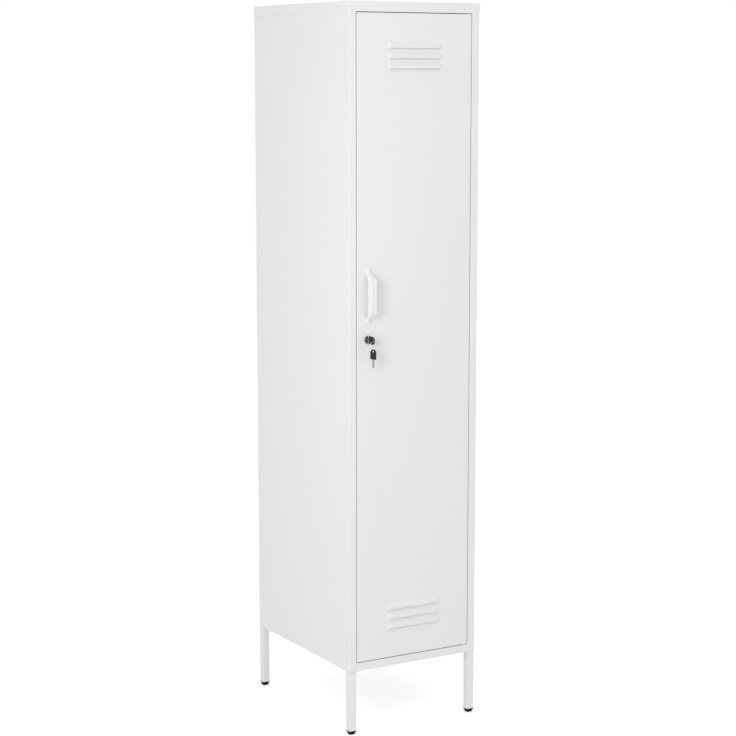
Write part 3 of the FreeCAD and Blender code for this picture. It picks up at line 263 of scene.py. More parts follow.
# %% The other finishes
GREY_RUB = ((0.09, 0.09, 0.09), 0.0004, 0.5)
DARK_RUB = ((0.03, 0.03, 0.03), 0.0004, 0.5)
BRIGHT_RUB = ((0.82, 0.82, 0.82), 0.0003, 0.6)
BRUSH_STRETCH = 0.06
POLISH_STRETCH = 0.05
BRUSHED = dict(
    colour=(0.4, 0.4, 0.4), shift=0.06, rough=0.3, spread=0.06, grain=5000, patch=300, bump=0.000006, metallic=1.0,
    edge=BRIGHT_RUB)
black_glide = make_finish(
    "black_glide", colour=(0.006, 0.006, 0.006), shift=0.2, rough=0.55, spread=0.06, grain=2200, patch=90,
    bump=0.00004, edge=DARK_RUB, shine=0.15)
black_bow = make_finish(
    "black_bow", colour=(0.009, 0.009, 0.01), shift=0.2, rough=0.42, spread=0.06, grain=3200, patch=160,
    bump=0.00002, edge=GREY_RUB, shine=0.35)
chrome = make_finish(
    "chrome", colour=(0.36, 0.36, 0.37), shift=0.03, rough=0.1, spread=0.03, grain=2500, patch=200, bump=0.000004,
    metallic=1.0)
zinc = make_finish(
    "zinc", colour=(0.6, 0.61, 0.62), shift=0.1, rough=0.34, spread=0.08, grain=1500, patch=160, bump=0.00001,
    metallic=1.0, edge=BRIGHT_RUB)
brushed_along_y = make_finish("brushed_along_y", stretch=(1, BRUSH_STRETCH, 1), **BRUSHED)
brushed_along_z = make_finish("brushed_along_z", stretch=(1, 1, BRUSH_STRETCH), **BRUSHED)
rail_steel = make_finish(
    "rail_steel", colour=(0.66, 0.66, 0.67), shift=0.05, rough=0.2, spread=0.05, grain=4000, patch=120,
    bump=0.000004, metallic=1.0, stretch=(POLISH_STRETCH, 1, 1))
nylon = make_finish(
    "nylon", colour=(0.78, 0.78, 0.75), shift=0.03, rough=0.45, spread=0.05, grain=1500, patch=150, bump=0.00002)
rubber = make_finish(
    "rubber", colour=(0.03, 0.03, 0.03), shift=0.2, rough=0.75, spread=0.06, grain=2600, patch=200, bump=0.00003)
SLOT_FINISH = {
    "white_powder_coat": white_coat,
    "black_plastic": black_glide,
    "chrome": chrome,
    "zinc_steel": zinc,
    "white_nylon": nylon,
    "rubber": rubber,
}
print(len(bpy.data.materials), "materials")

# %% [markdown]
# ## Dress the solid nodes
#
# Pieces whose shape is already right keep their solid mesh and only take a finish. The record says which slot each
# node belongs to. Two nodes get a finish of their own: the hanging rail is polished along its length, and the lock's
# cam is brushed.

# %% Give every solid node its finish
for entry in frame["record"]["subparts"]:
    node = nodes[entry["node"]]
    node.data.materials.clear()
    node.data.materials.append(SLOT_FINISH[entry["material_slot"]])
nodes["hanging_rail"].data.materials[0] = rail_steel
nodes["lock_cam"].data.materials[0] = brushed_along_z
print("finishes on", len(nodes), "nodes")

# %% [markdown]
# ## How the pieces are modelled
#
# Every piece below is made as one would by hand: add a primitive at its size and place, pick faces or edges, and
# extrude, inset or bevel them. Without a mouse, picking means asking each face or edge where it lies. The helpers
# here do that in millimetres, and the places come from the boxes of the solid nodes, so nothing has to be fitted.

# %% Helpers for picking
CLOSE = 0.02


def box_mm(node):
    """Give a solid node's lowest and highest corners in millimetres."""
    low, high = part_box(node)
    return Vector(low) / MM, Vector(high) / MM


def at(**places):
    """Test that all corners lie at an x, y or z, or within a (low, high) range, in millimetres."""

    def test(corners):
        for axis, place in places.items():
            low, high = place if isinstance(place, tuple) else (place, place)
            if any(not low - CLOSE <= getattr(corner, axis) <= high + CLOSE for corner in corners):
                return False
        return True

    return test


def choose(piece, kind, *tests, rims_only=False):
    """Select the verts, edges or faces whose corners pass any of the tests."""
    bpy.ops.mesh.select_mode(type={"verts": "VERT", "edges": "EDGE", "faces": "FACE"}[kind])
    bpy.ops.mesh.select_all(action="DESELECT")
    mesh = bmesh.from_edit_mesh(piece.data)
    for part in getattr(mesh, kind):
        corners = [part.co / MM] if kind == "verts" else [vert.co / MM for vert in part.verts]
        wanted = any(test(corners) for test in tests)
        part.select = wanted and not (rims_only and len(part.link_faces) > 1)
    mesh.select_flush_mode()
    bmesh.update_edit_mesh(piece.data)


print("a place counts as met within", CLOSE, "mm")

# %% [markdown]
# Four short helpers stand for the operators that shape what was picked. They take steps and sizes in millimetres too.


# %% Helpers for shaping
def extrude(x=0, y=0, z=0):
    """Draw the selection out by a step in millimetres."""
    bpy.ops.mesh.extrude_region_move(TRANSFORM_OT_translate={"value": (x * MM, y * MM, z * MM)})


def move(x=0, y=0, z=0):
    """Shift the selection by a step in millimetres."""
    bpy.ops.transform.translate(value=(x * MM, y * MM, z * MM))


def scale_about(centre, x=1, y=1, z=1):
    """Scale the selection about a point in millimetres."""
    bpy.ops.transform.resize(value=(x, y, z), center_override=tuple(Vector(centre) * MM))


def soften(size, segments):
    """Round the selected edges."""
    bpy.ops.mesh.bevel(offset=size * MM, segments=segments, affect="EDGES")


print("a step of 1 mm is", MM, "in Blender's metres")

# %% [markdown]
# The next helpers start a piece. An operator acts on all that is selected, so everything is deselected first. A
# primitive's own size and place are applied at once, so that the finished object sits at the origin with its shape in
# its mesh, as the solid nodes do.


# %% Helpers for starting a piece
def select_nothing():
    """Leave edit mode and deselect everything."""
    if bpy.context.mode != "OBJECT":
        bpy.ops.object.mode_set(mode="OBJECT")
    bpy.ops.object.select_all(action="DESELECT")


def pick(piece):
    """Select one piece and nothing else."""
    select_nothing()
    piece.select_set(True)
    bpy.context.view_layer.objects.active = piece


def edit(piece):
    """Open one piece, and nothing else, for editing."""
    pick(piece)
    bpy.ops.object.mode_set(mode="EDIT")


def open_primitive(name):
    """Name the primitive that was just added, apply its place, and open it."""
    piece = bpy.context.object
    piece.name = name
    piece.data.name = name
    bpy.ops.object.transform_apply(location=True, rotation=True, scale=True)
    edit(piece)
    return piece


def block(name, x, y, z):
    """Start a piece from a cube that fills three (low, high) ranges in millimetres."""
    select_nothing()
    low = Vector((x[0], y[0], z[0])) * MM
    high = Vector((x[1], y[1], z[1])) * MM
    bpy.ops.mesh.primitive_cube_add(size=1, location=(low + high) / 2, scale=high - low)
    return open_primitive(name)


select_nothing()
print(len(bpy.context.selected_objects), "objects selected before the first piece")

# %% [markdown]
# The last helpers finish a piece. Completing it smooths all but its sharp edges, and weighted normals keep the large
# flat sheets flat beside their narrow bends.

# %% Helpers for finishing a piece
SHARP_DEGREES = 38


def apply_modifier(piece, kind, **settings):
    """Add a modifier to a piece and apply it at once."""
    bpy.ops.object.mode_set(mode="OBJECT")
    modifier = piece.modifiers.new(kind.lower(), kind)
    for label, setting in settings.items():
        setattr(modifier, label, setting)
    bpy.ops.object.modifier_apply(modifier=modifier.name)


def copy_of(piece, name):
    """Copy a piece, with a mesh of its own."""
    pick(piece)
    bpy.ops.object.duplicate()
    twin = bpy.context.object
    twin.name = name
    twin.data.name = name
    return twin


def face_outwards():
    """Turn the faces of the open piece outwards."""
    bpy.ops.mesh.select_all(action="SELECT")
    bpy.ops.mesh.normals_make_consistent(inside=False)


def complete(piece, body, slot, finish, *replaced):
    """Smooth a piece, give it its finish, and let it ride on its body in place of solid nodes."""
    pick(piece)
    bpy.ops.object.shade_smooth_by_angle(angle=math.radians(SHARP_DEGREES))
    apply_modifier(piece, "WEIGHTED_NORMAL", keep_sharp=True)
    piece.data.materials.clear()
    piece.data.materials.append(finish)
    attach(piece, body)
    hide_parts(*replaced)
    size = ", ".join(f"{length / MM:.1f}" for length in piece.dimensions)
    print(piece.name, "is", size, "mm with", len(piece.data.polygons), "faces")


print("edges sharper than", SHARP_DEGREES, "degrees stay sharp")

# %% [markdown]
# ## Side panels
#
# Each side is one sheet, folded in front into the post that frames the door, its jamb and the stop that the door
# closes on, and folded behind into a flange for the back. A box would give it no bends and no thickness. So it starts
# as a block that has the wall, the post and the rear flange in it, loses the three faces that the sheet doesn't have,
# and grows the other folds from its edges. The folds are then rounded.

# %% Fold one side panel
BEND = 1.6
BEND_STEPS = 4
POST_WIDTH = 21.0
JAMB_DEPTH = 23.2
STOP_WIDTH = 8.0
REAR_FLANGE = 20.0
TOP_FLANGE = 20.0
FLANGE_START = 24.3
FLANGE_STOP = 3.0


def fold_side(name):
    """Fold the left side panel as a surface."""
    low, high = box_mm("left_side_panel")
    post = low.x + POST_WIDTH
    jamb = low.y + JAMB_DEPTH
    panel = block(name, (low.x, post), (low.y, high.y), (low.z, high.z))
    choose(panel, "faces", at(x=post), at(z=low.z), at(z=high.z))
    bpy.ops.mesh.delete(type="FACE")
    choose(panel, "verts", at(x=post, y=high.y))
    move(x=REAR_FLANGE - POST_WIDTH)
    choose(panel, "edges", at(x=post, y=low.y))
    extrude(y=JAMB_DEPTH)
    extrude(x=STOP_WIDTH)
    flange = (low.y + FLANGE_START, high.y - FLANGE_STOP)
    for depth in flange:
        choose(panel, "faces", at(x=low.x))
        bpy.ops.mesh.bisect(plane_co=(0, depth * MM, 0), plane_no=(0, 1, 0))
    for height, width in ((low.z, high.x - low.x), (high.z, TOP_FLANGE)):
        choose(panel, "edges", at(x=low.x, y=flange, z=height))
        extrude(x=width)
    upright = [at(x=low.x, y=low.y), at(x=low.x, y=high.y), at(x=post, y=low.y), at(x=post, y=jamb)]
    choose(panel, "edges", *upright)
    soften(BEND, BEND_STEPS)
    choose(panel, "edges", at(x=low.x, y=flange, z=low.z), at(x=low.x, y=flange, z=high.z))
    soften(BEND, BEND_STEPS)
    return panel


left_side = fold_side("left_side")
print("folded surface with", len(bmesh.from_edit_mesh(left_side.data).faces), "faces")

# %% [markdown]
# Only now does the sheet get its thickness, because a bend is far easier to round on a bare surface. The thickness
# grows against the normals, so the outer face is asked first which way it looks. The right side is the left one
# mirrored.

# %% Mirror the side and give both their thickness
SHEET = 0.8


def thicken(piece, outer, direction):
    """Give a folded surface the thickness of the sheet, inwards from the face that a test finds."""
    face_outwards()
    choose(piece, "faces", outer)
    normal = next(face.normal for face in bmesh.from_edit_mesh(piece.data).faces if face.select)
    if normal.dot(Vector(direction)) < 0:
        bpy.ops.mesh.select_all(action="SELECT")
        bpy.ops.mesh.flip_normals()
    apply_modifier(piece, "SOLIDIFY", thickness=SHEET * MM, offset=-1, use_even_offset=True)


right_side = copy_of(left_side, "right_side")
right_side.scale.x = -1
bpy.ops.object.transform_apply(location=False, rotation=False, scale=True)
for panel, way, node in ((left_side, -1, "left_side_panel"), (right_side, 1, "right_side_panel")):
    wall_x = box_mm(node)[0].x if way < 0 else box_mm(node)[1].x
    edit(panel)
    thicken(panel, at(x=wall_x), (way, 0, 0))
    complete(panel, "cabinet", "white_powder_coat", white_coat, node)

# %% [markdown]
# ## Top cap and shelves
#
# The cap and the shelves are trays turned upside down: a flat sheet with its edges folded down. A block without its
# lower face has all those folds in it at once. Bevelling the upper and the upright edges turns the folds into bends.


# %% Fold the cap and the shelves
def fold_tray(name, node):
    """Fold a sheet down on all four sides."""
    low, high = box_mm(node)
    tray = block(name, (low.x, high.x), (low.y, high.y), (low.z, high.z))
    choose(tray, "faces", at(z=low.z))
    bpy.ops.mesh.delete(type="FACE")
    uprights = [at(x=x, y=y) for x in (low.x, high.x) for y in (low.y, high.y)]
    choose(tray, "edges", at(z=high.z), *uprights)
    soften(BEND, BEND_STEPS)
    thicken(tray, at(z=high.z), (0, 0, 1))
    return tray


top_cap = fold_tray("top_cap", "top_panel")
complete(top_cap, "cabinet", "white_powder_coat", white_coat, "top_panel")
low_shelf = fold_tray("low_shelf", "lower_shelf")
high_shelf = copy_of(low_shelf, "high_shelf")
edit(high_shelf)
bpy.ops.mesh.select_all(action="SELECT")
move(z=box_mm("upper_shelf")[0].z - box_mm("lower_shelf")[0].z)
complete(low_shelf, "cabinet", "white_powder_coat", white_coat, "lower_shelf")
complete(high_shelf, "cabinet", "white_powder_coat", white_coat, "upper_shelf")

# %% [markdown]
# ## Door: where the louvres are
#
# The louvres stand in two banks of three. The upper bank hangs from the door's upper edge and the lower one stands on
# its lower edge, so the door's box gives their places. The face of the door lies where the handle's feet end.

# %% Places of the louvres
LOUVRE_HEIGHT = 15.0
LOUVRE_PITCH = 25.0
LOUVRE_COUNT = 3
UPPER_MARGIN = 70.0
LOWER_MARGIN = 76.0
door_low, door_high = box_mm("door_skin")
FACE = box_mm("door_handle")[1].y
upper_first = door_high.z - UPPER_MARGIN - LOUVRE_HEIGHT
lower_first = door_low.z + LOWER_MARGIN + LOUVRE_PITCH * (LOUVRE_COUNT - 1)
louvre_bottoms = [first - LOUVRE_PITCH * step for first in (upper_first, lower_first) for step in range(LOUVRE_COUNT)]
print("lower edges of the louvres at", [round(bottom, 1) for bottom in louvre_bottoms], "mm")

# %% [markdown]
# ## Door: one louvre
#
# A louvre is pressed out of the door's own sheet: the punch pushes a long bump outwards and shears it open along its
# lower edge, so dust and eyes are kept out and air gets in. A separate slat stuck on the door would look wrong from
# below, where one sees into the opening. So the bump is raised from a plate: rounded upper corners, an inset rim that
# will join the door, an extrusion outwards, and a crest drawn in so that three sides slope. The lower wall is taken
# away only after the door's sheet has closed around the rim.

# %% Press one louvre
LOUVRE_WIDTH = 156.0
LOUVRE_REACH = 4.2
LOUVRE_SLOPE = 5.5
LOUVRE_FALL = 8.5
LOUVRE_CORNER, CORNER_STEPS = 7.0, 8
LOUVRE_RIM = 3.0
CREST_ROUND, CREST_STEPS = 1.8, 4
FOOT_ROUND, FOOT_STEPS = 1.0, 3
FACING_FRONT = (math.radians(90), 0, 0)


def press_louvre(name, bottom):
    """Press the uppermost louvre, its lower wall still closed."""
    half = LOUVRE_WIDTH / 2
    top = bottom + LOUVRE_HEIGHT
    crest = FACE - LOUVRE_REACH
    wide = LOUVRE_WIDTH + 2 * LOUVRE_RIM
    high = LOUVRE_HEIGHT + 2 * LOUVRE_RIM
    middle = Vector((0, FACE, (bottom + top) / 2))
    select_nothing()
    bpy.ops.mesh.primitive_plane_add(size=MM, location=middle * MM, rotation=FACING_FRONT)
    piece = open_primitive(name)
    bpy.ops.mesh.select_all(action="SELECT")
    scale_about(middle, x=wide, z=high)
    choose(piece, "verts", at(z=top + LOUVRE_RIM))
    bpy.ops.mesh.bevel(offset=(LOUVRE_CORNER + LOUVRE_RIM) * MM, segments=CORNER_STEPS, affect="VERTICES")
    choose(piece, "faces", at(y=FACE))
    bpy.ops.mesh.inset(thickness=LOUVRE_RIM * MM, use_boundary=True)
    extrude(y=-LOUVRE_REACH)
    drawn_in = (half - LOUVRE_SLOPE) / half
    lowered = (LOUVRE_HEIGHT - LOUVRE_FALL) / LOUVRE_HEIGHT
    scale_about((0, crest, bottom), x=drawn_in, z=lowered)

    def crest_edge(corners):
        return at(y=crest)(corners) and not at(z=bottom)(corners)

    def foot_edge(corners):
        return at(x=(-half, half), y=FACE, z=(bottom, top))(corners) and not at(z=bottom)(corners)

    choose(piece, "edges", crest_edge)
    soften(CREST_ROUND, CREST_STEPS)
    choose(piece, "edges", foot_edge)
    soften(FOOT_ROUND, FOOT_STEPS)
    return piece


door_panel = press_louvre("door_panel", upper_first)
print("louvre crest", LOUVRE_REACH, "mm proud of the door")

# %% [markdown]
# ## Door: the pan
#
# The louvre is repeated down the bank, and the bank is repeated at the foot of the door. Then the door's own outline
# and the hole for the lock join the same mesh, and the flat sheet is filled in between all these rims. A ring of
# four-sided faces is kept along the outline, ready to be bent.

# %% Fill the sheet in around the louvres
OUTLINE_RIM = 8.0
LOCK_HOLE, LOCK_HOLE_SIDES = 9.05, 48
lock_low, lock_high = box_mm("lock_plug")
lock_x = (lock_low.x + lock_high.x) / 2
lock_z = (lock_low.z + lock_high.z) / 2
door_middle = (door_low + door_high) / 2
door_size = door_high - door_low
face_middle = Vector((0, FACE, door_middle.z))
lock_middle = Vector((lock_x, FACE, lock_z))


def repeat(x=0, z=0):
    """Copy the selection by a step in millimetres, and select the copy instead."""
    bpy.ops.mesh.duplicate_move(TRANSFORM_OT_translate={"value": (x * MM, 0, z * MM)})


bpy.ops.mesh.select_all(action="SELECT")
for _ in range(LOUVRE_COUNT - 1):
    repeat(z=-LOUVRE_PITCH)
bpy.ops.mesh.select_all(action="SELECT")
repeat(z=lower_first - upper_first)
bpy.ops.mesh.select_mode(type="FACE")
bpy.ops.mesh.primitive_plane_add(size=MM, location=face_middle * MM, rotation=FACING_FRONT)
scale_about(face_middle, x=door_size.x, z=door_size.z)
bpy.ops.mesh.inset(thickness=OUTLINE_RIM * MM, use_boundary=True)
bpy.ops.mesh.delete(type="ONLY_FACE")
bpy.ops.mesh.primitive_circle_add(
    vertices=LOCK_HOLE_SIDES, radius=LOCK_HOLE * MM, location=lock_middle * MM, rotation=FACING_FRONT)
inside = at(
    x=(door_low.x + OUTLINE_RIM, door_high.x - OUTLINE_RIM),
    y=FACE,
    z=(door_low.z + OUTLINE_RIM, door_high.z - OUTLINE_RIM),
)
choose(door_panel, "edges", inside, rims_only=True)
bpy.ops.mesh.fill(use_beauty=True)
print("door sheet with", len(bmesh.from_edit_mesh(door_panel.data).faces), "faces")

# %% [markdown]
# The lower walls of the louvres are now taken away, which opens them. The outline bends back into the door's edges,
# and in again as lips. As on the side panels, the bends are rounded before the sheet gets its thickness.

# %% Open the louvres and fold the edges
DOOR_DEPTH = 18.0
DOOR_LIP = 12.0
door_back = FACE + DOOR_DEPTH
door_sides = (door_low.x, door_high.x)
door_ends = (door_low.z, door_high.z)


def outline_at(depth):
    """Give tests for the four outer edges of the door at a depth."""
    return [at(x=x, y=depth) for x in door_sides] + [at(y=depth, z=z) for z in door_ends]


choose(door_panel, "faces", *[at(z=bottom) for bottom in louvre_bottoms])
bpy.ops.mesh.delete(type="FACE")
choose(door_panel, "edges", *outline_at(FACE))
extrude(y=DOOR_DEPTH)
extrude()
lip_x = (door_size.x - 2 * DOOR_LIP) / door_size.x
lip_z = (door_size.z - 2 * DOOR_LIP) / door_size.z
scale_about((0, door_back, door_middle.z), x=lip_x, z=lip_z)
corner_folds = [at(x=x, z=z) for x in door_sides for z in door_ends]
choose(door_panel, "edges", *corner_folds, *outline_at(FACE), *outline_at(door_back))
soften(BEND, BEND_STEPS)
rim_face = at(x=(door_low.x, door_low.x + OUTLINE_RIM), y=FACE)
thicken(door_panel, rim_face, (0, -1, 0))
complete(door_panel, "door", "white_powder_coat", white_coat, "door_skin")

# %% [markdown]
# ## Handle
#
# The handle is a cast bridge: flat feet, ends that rise in a soft curve, and a bar with slanted flanks and a shallow
# flute along its front. Such a shape has no straight edge to bevel, so it is made as a coarse cage and smoothed by
# subdivision. The cage is the bar alone at first. Each end face is drawn out twice, to the start of the foot and to
# its end, and the feet are narrowed. Cuts beside the bends and along the flute hold the shape, and creases keep the
# long edges from melting away.

# %% Cast the handle
HANDLE_BAR = 17.0
BAR_FRONT_SHARE = 0.6
FOOT_THICK = 3.0
FRONT_FOOT_SHARE, REAR_FOOT_SHARE = 0.9, 0.6
BAR_END_FRONT, BAR_END_REAR = 41.0, 45.0
FOOT_START_FRONT, FOOT_START_REAR = 62.0, 57.0
FIRST_DRAW = 0.5
grip_low, grip_high = box_mm("door_handle")
grip_middle = (grip_low + grip_high) / 2
half_long = (grip_high.z - grip_low.z) / 2
bar_rear_y = grip_low.y + HANDLE_BAR
foot_y = FACE - FOOT_THICK
END_ROWS = [
    ((grip_low.y, BAR_END_FRONT), (bar_rear_y, BAR_END_REAR)),
    ((foot_y, FOOT_START_FRONT), (FACE, FOOT_START_REAR)),
    ((foot_y, half_long), (FACE, half_long)),
]
(bar_y, bar_end), (rear_y, rear_end) = END_ROWS[0]
bar_heights = (grip_middle.z - bar_end, grip_middle.z + bar_end)
grip = block("grip_handle", (grip_low.x, grip_high.x), (bar_y, rear_y), bar_heights)
choose(grip, "verts", at(y=rear_y))
scale_about((0, rear_y, grip_middle.z), z=rear_end / bar_end)
choose(grip, "verts", at(y=bar_y))
scale_about((grip_middle.x, bar_y, 0), x=BAR_FRONT_SHARE)


def draw_end(way, rows, goals):
    """Draw an end face out, its front and its rear row of corners each to a (depth, height) of its own."""
    heights = sorted(grip_middle.z + way * height for _, height in rows)
    choose(grip, "faces", at(z=tuple(heights), y=(rows[0][0], rows[1][0])))
    extrude(z=way * FIRST_DRAW)
    for (depth, height), (next_depth, next_height) in zip(rows, goals):
        choose(grip, "verts", at(y=depth, z=grip_middle.z + way * (height + FIRST_DRAW)))
        move(y=next_depth - depth, z=way * (next_height - height - FIRST_DRAW))


for way in (1, -1):
    for rows, goals in zip(END_ROWS, END_ROWS[1:]):
        draw_end(way, rows, goals)
choose(grip, "verts", at(y=foot_y))
scale_about((grip_middle.x, 0, 0), x=FRONT_FOOT_SHARE)
choose(grip, "verts", at(y=FACE))
scale_about((grip_middle.x, 0, 0), x=REAR_FOOT_SHARE)
print("cage of the handle:", len(bmesh.from_edit_mesh(grip.data).faces), "faces")

# %% [markdown]
# The cage is then cut where the smoothing has to be held, and smoothed.

# %% Smooth the handle
STRAIGHT = 35.0
FLUTE_DEPTH = 1.5
LONG_CREASE, FULL_CREASE = 0.55, 1.0
SMOOTH_LEVELS = 3


def cut_through(place, axis):
    """Cut new edges all round the open piece, where a plane across an axis meets it."""
    bpy.ops.mesh.select_all(action="SELECT")
    bpy.ops.mesh.bisect(plane_co=Vector(axis) * place * MM, plane_no=axis)


def flank_edge(corners):
    """Pass the edges that lie on one flank of the handle."""
    offsets = [corner.x - grip_middle.x for corner in corners]
    return min(offsets) > CLOSE or max(offsets) < -CLOSE


cut_through(grip_middle.x, (1, 0, 0))
for way in (1, -1):
    cut_through(grip_middle.z + way * STRAIGHT, (0, 0, 1))
choose(grip, "verts", at(x=grip_middle.x, y=grip_low.y))
move(y=FLUTE_DEPTH)
face_outwards()
choose(grip, "edges", flank_edge)
bpy.ops.transform.edge_crease(value=LONG_CREASE)
choose(grip, "edges", at(y=FACE))
bpy.ops.transform.edge_crease(value=FULL_CREASE)
apply_modifier(grip, "SUBSURF", levels=SMOOTH_LEVELS, render_levels=SMOOTH_LEVELS)
complete(grip, "door", "white_powder_coat", white_coat, "door_handle")

# %% [markdown]
# ## Lock barrel
#
# A cam lock's barrel is turned from a bar, so the simplest way to make it is to turn it: a ring is drawn out along
# the axis and widened or narrowed at each step. Its face has a rounded rim and a fine groove around the plug.

# %% Turn the lock barrel
BARREL_SIDES = 64
SAME_PLACE = 0.001
BARREL_RINGS = [
    (6.05, 24.0), (8.6, 24.0), (9.0, 23.6), (9.0, 0.0), (11.0, 0.0), (11.0, -1.5), (10.8, -2.2), (10.3, -2.75),
    (9.7, -3.0), (8.0, -3.0), (7.7, -2.6), (7.3, -2.6), (7.0, -3.0), (6.3, -3.0), (6.05, -2.75), (6.05, 24.0),
]


def turn(name, centre, rings, sides):
    """Join rings of (radius, depth) about an axis that runs from front to back through a centre."""
    select_nothing()
    radius, depth = rings[0]
    start = Vector(centre) + Vector((0, depth, 0))
    bpy.ops.mesh.primitive_circle_add(vertices=sides, radius=radius * MM, location=start * MM, rotation=FACING_FRONT)
    piece = open_primitive(name)
    bpy.ops.mesh.select_mode(type="EDGE")
    bpy.ops.mesh.select_all(action="SELECT")
    for next_radius, next_depth in rings[1:]:
        extrude(y=next_depth - depth)
        factor = next_radius / radius
        scale_about(centre, x=factor, z=factor)
        radius, depth = next_radius, next_depth
    bpy.ops.mesh.select_all(action="SELECT")
    bpy.ops.mesh.remove_doubles(threshold=SAME_PLACE * MM)
    bpy.ops.mesh.fill_holes(sides=0)
    face_outwards()
    return piece


barrel = turn("cam_lock_barrel", lock_middle, BARREL_RINGS, BARREL_SIDES)
complete(barrel, "door", "chrome", chrome, "lock_barrel")

# %% [markdown]
# ## Keys
#
# Each key is a flat steel blade moulded into a black plastic bow with a round end. The bow is a block whose outer
# edges are bevelled until they meet, with a thumb panel pressed into both sides and a hole for the ring. It is
# modelled about that hole, and its blade will point to the back.

# %% Mould the bow
BOW_END, BOW_ROOT, BOW_HALF_HIGH, BOW_HALF_THICK = -6.0, 19.5, 10.0, 1.5
MEETING_GAP = 0.05
END_ROUND, END_STEPS = BOW_HALF_HIGH - MEETING_GAP, 14
ROOT_ROUND, ROOT_STEPS = 2.0, 5
BOW_RIM_ROUND, BOW_RIM_STEPS = 0.8, 4
PANEL_DEPTHS, PANEL_HEIGHTS, PANEL_SUNK = (6.0, 17.0), (-7.0, 7.0), 0.3
PANEL_ROUND, PANEL_STEPS = 2.5, 6
HOLE_RADIUS, HOLE_LENGTH, HOLE_SIDES = 3.5, 4.5, 40
ACROSS = (0, math.radians(90), 0)


def cut_away(piece, tool):
    """Take the shape of a tool out of a piece, and throw the tool away."""
    pick(piece)
    apply_modifier(piece, "BOOLEAN", object=tool, operation="DIFFERENCE", solver="EXACT")
    bpy.data.objects.remove(tool, do_unlink=True)
    edit(piece)


def mould_bow(name):
    """Mould the plastic bow about its hole."""
    heights = (-BOW_HALF_HIGH, BOW_HALF_HIGH)
    sides = (-BOW_HALF_THICK, BOW_HALF_THICK)
    bow = block(name, sides, (BOW_END, BOW_ROOT), heights)
    choose(bow, "edges", *[at(y=BOW_END, z=z) for z in heights])
    soften(END_ROUND, END_STEPS)
    choose(bow, "edges", *[at(y=BOW_ROOT, z=z) for z in heights])
    soften(ROOT_ROUND, ROOT_STEPS)
    choose(bow, "edges", *[at(x=x) for x in sides])
    soften(BOW_RIM_ROUND, BOW_RIM_STEPS)
    face_outwards()
    for side in sides:
        panel = block("thumb_panel", (side - PANEL_SUNK, side + PANEL_SUNK), PANEL_DEPTHS, PANEL_HEIGHTS)
        choose(panel, "edges", *[at(y=y, z=z) for y in PANEL_DEPTHS for z in PANEL_HEIGHTS])
        soften(PANEL_ROUND, PANEL_STEPS)
        face_outwards()
        cut_away(bow, panel)
    select_nothing()
    bpy.ops.mesh.primitive_cylinder_add(
        vertices=HOLE_SIDES, radius=HOLE_RADIUS * MM, depth=HOLE_LENGTH * MM, rotation=ACROSS)
    hole = open_primitive("ring_hole")
    cut_away(bow, hole)
    return bow


first_bow = mould_bow("key_grip")
print("bow", BOW_ROOT - BOW_END, "mm long")

# %% [markdown]
# The blade has a groove along each side and a row of cuts. It is sliced across where each cut has its lowest or
# highest point, and those points are then moved. Drawing the blade in along its middle makes the grooves.

# %% Cut the blade
BLADE_ROOT, BLADE_TIP, BLADE_HALF_HIGH, BLADE_HALF_THICK = 9.5, 42.0, 3.5, 1.0
GROOVE_LOW, GROOVE_MIDDLE, GROOVE_HIGH = -1.1, -0.3, 0.5
GROOVE_SHARE = 0.55
BLADE_TIP_SHARE = 0.3
BITTING = {
    24.0: 0.0, 25.5: 1.3, 27.0: 0.3, 28.5: 1.7, 30.0: 0.6, 31.5: 1.1, 33.0: 0.2, 34.5: 1.5, 36.0: 0.5, 38.5: 0.5,
}


def cut_blade(name):
    """Cut the steel blade, with a groove on each side and its bitting on one edge."""
    heights = (-BLADE_HALF_HIGH, BLADE_HALF_HIGH)
    blade = block(name, (-BLADE_HALF_THICK, BLADE_HALF_THICK), (BLADE_ROOT, BLADE_TIP), heights)
    for height in (GROOVE_LOW, GROOVE_MIDDLE, GROOVE_HIGH):
        cut_through(height, (0, 0, 1))
    for depth in BITTING:
        cut_through(depth, (0, 1, 0))
    choose(blade, "verts", at(z=GROOVE_MIDDLE))
    scale_about((0, 0, 0), x=GROOVE_SHARE)
    for depth, lowered in BITTING.items():
        choose(blade, "verts", at(y=depth, z=BLADE_HALF_HIGH))
        move(z=-lowered)
    choose(blade, "verts", at(y=BLADE_TIP))
    scale_about((0, BLADE_TIP, 0), z=BLADE_TIP_SHARE)
    face_outwards()
    return blade


first_blade = cut_blade("key_shank")
print("key", BLADE_TIP - BOW_END, "mm long")

# %% [markdown]
# Both keys are the same. One stays in the lock. Its copy is turned point down, hangs from the ring and has the ring's
# yaw. The brushing of a blade runs along it, so the two blades have their grain on different axes.

# %% Place the two keys
RING_YAW = math.radians(12)
POINT_DOWN = math.radians(-90)
key_hole = Vector((lock_x, box_mm("key_bow")[0].y - BOW_END, lock_z))
spare_hole = Vector((lock_x, key_hole.y, box_mm("spare_key_bow")[1].z + BOW_END))
hang = Matrix.Rotation(RING_YAW, 4, "Z") @ Matrix.Rotation(POINT_DOWN, 4, "X")


def set_down(piece, matrix):
    """Put a piece where a matrix says, with its place in its mesh."""
    pick(piece)
    piece.matrix_world = matrix
    bpy.ops.object.transform_apply(location=True, rotation=True, scale=True)


for piece, node, slot, finish, spare_finish in (
    (first_bow, "bow", "black_plastic", black_bow, black_bow),
    (first_blade, "blade", "zinc_steel", brushed_along_y, brushed_along_z),
):
    twin = copy_of(piece, f"spare_{piece.name}")
    set_down(twin, Matrix.Translation(spare_hole * MM) @ hang)
    complete(twin, "spare_key", slot, spare_finish, f"spare_key_{node}")
    set_down(piece, Matrix.Translation(key_hole * MM))
    complete(piece, "key", slot, finish, f"key_{node}")

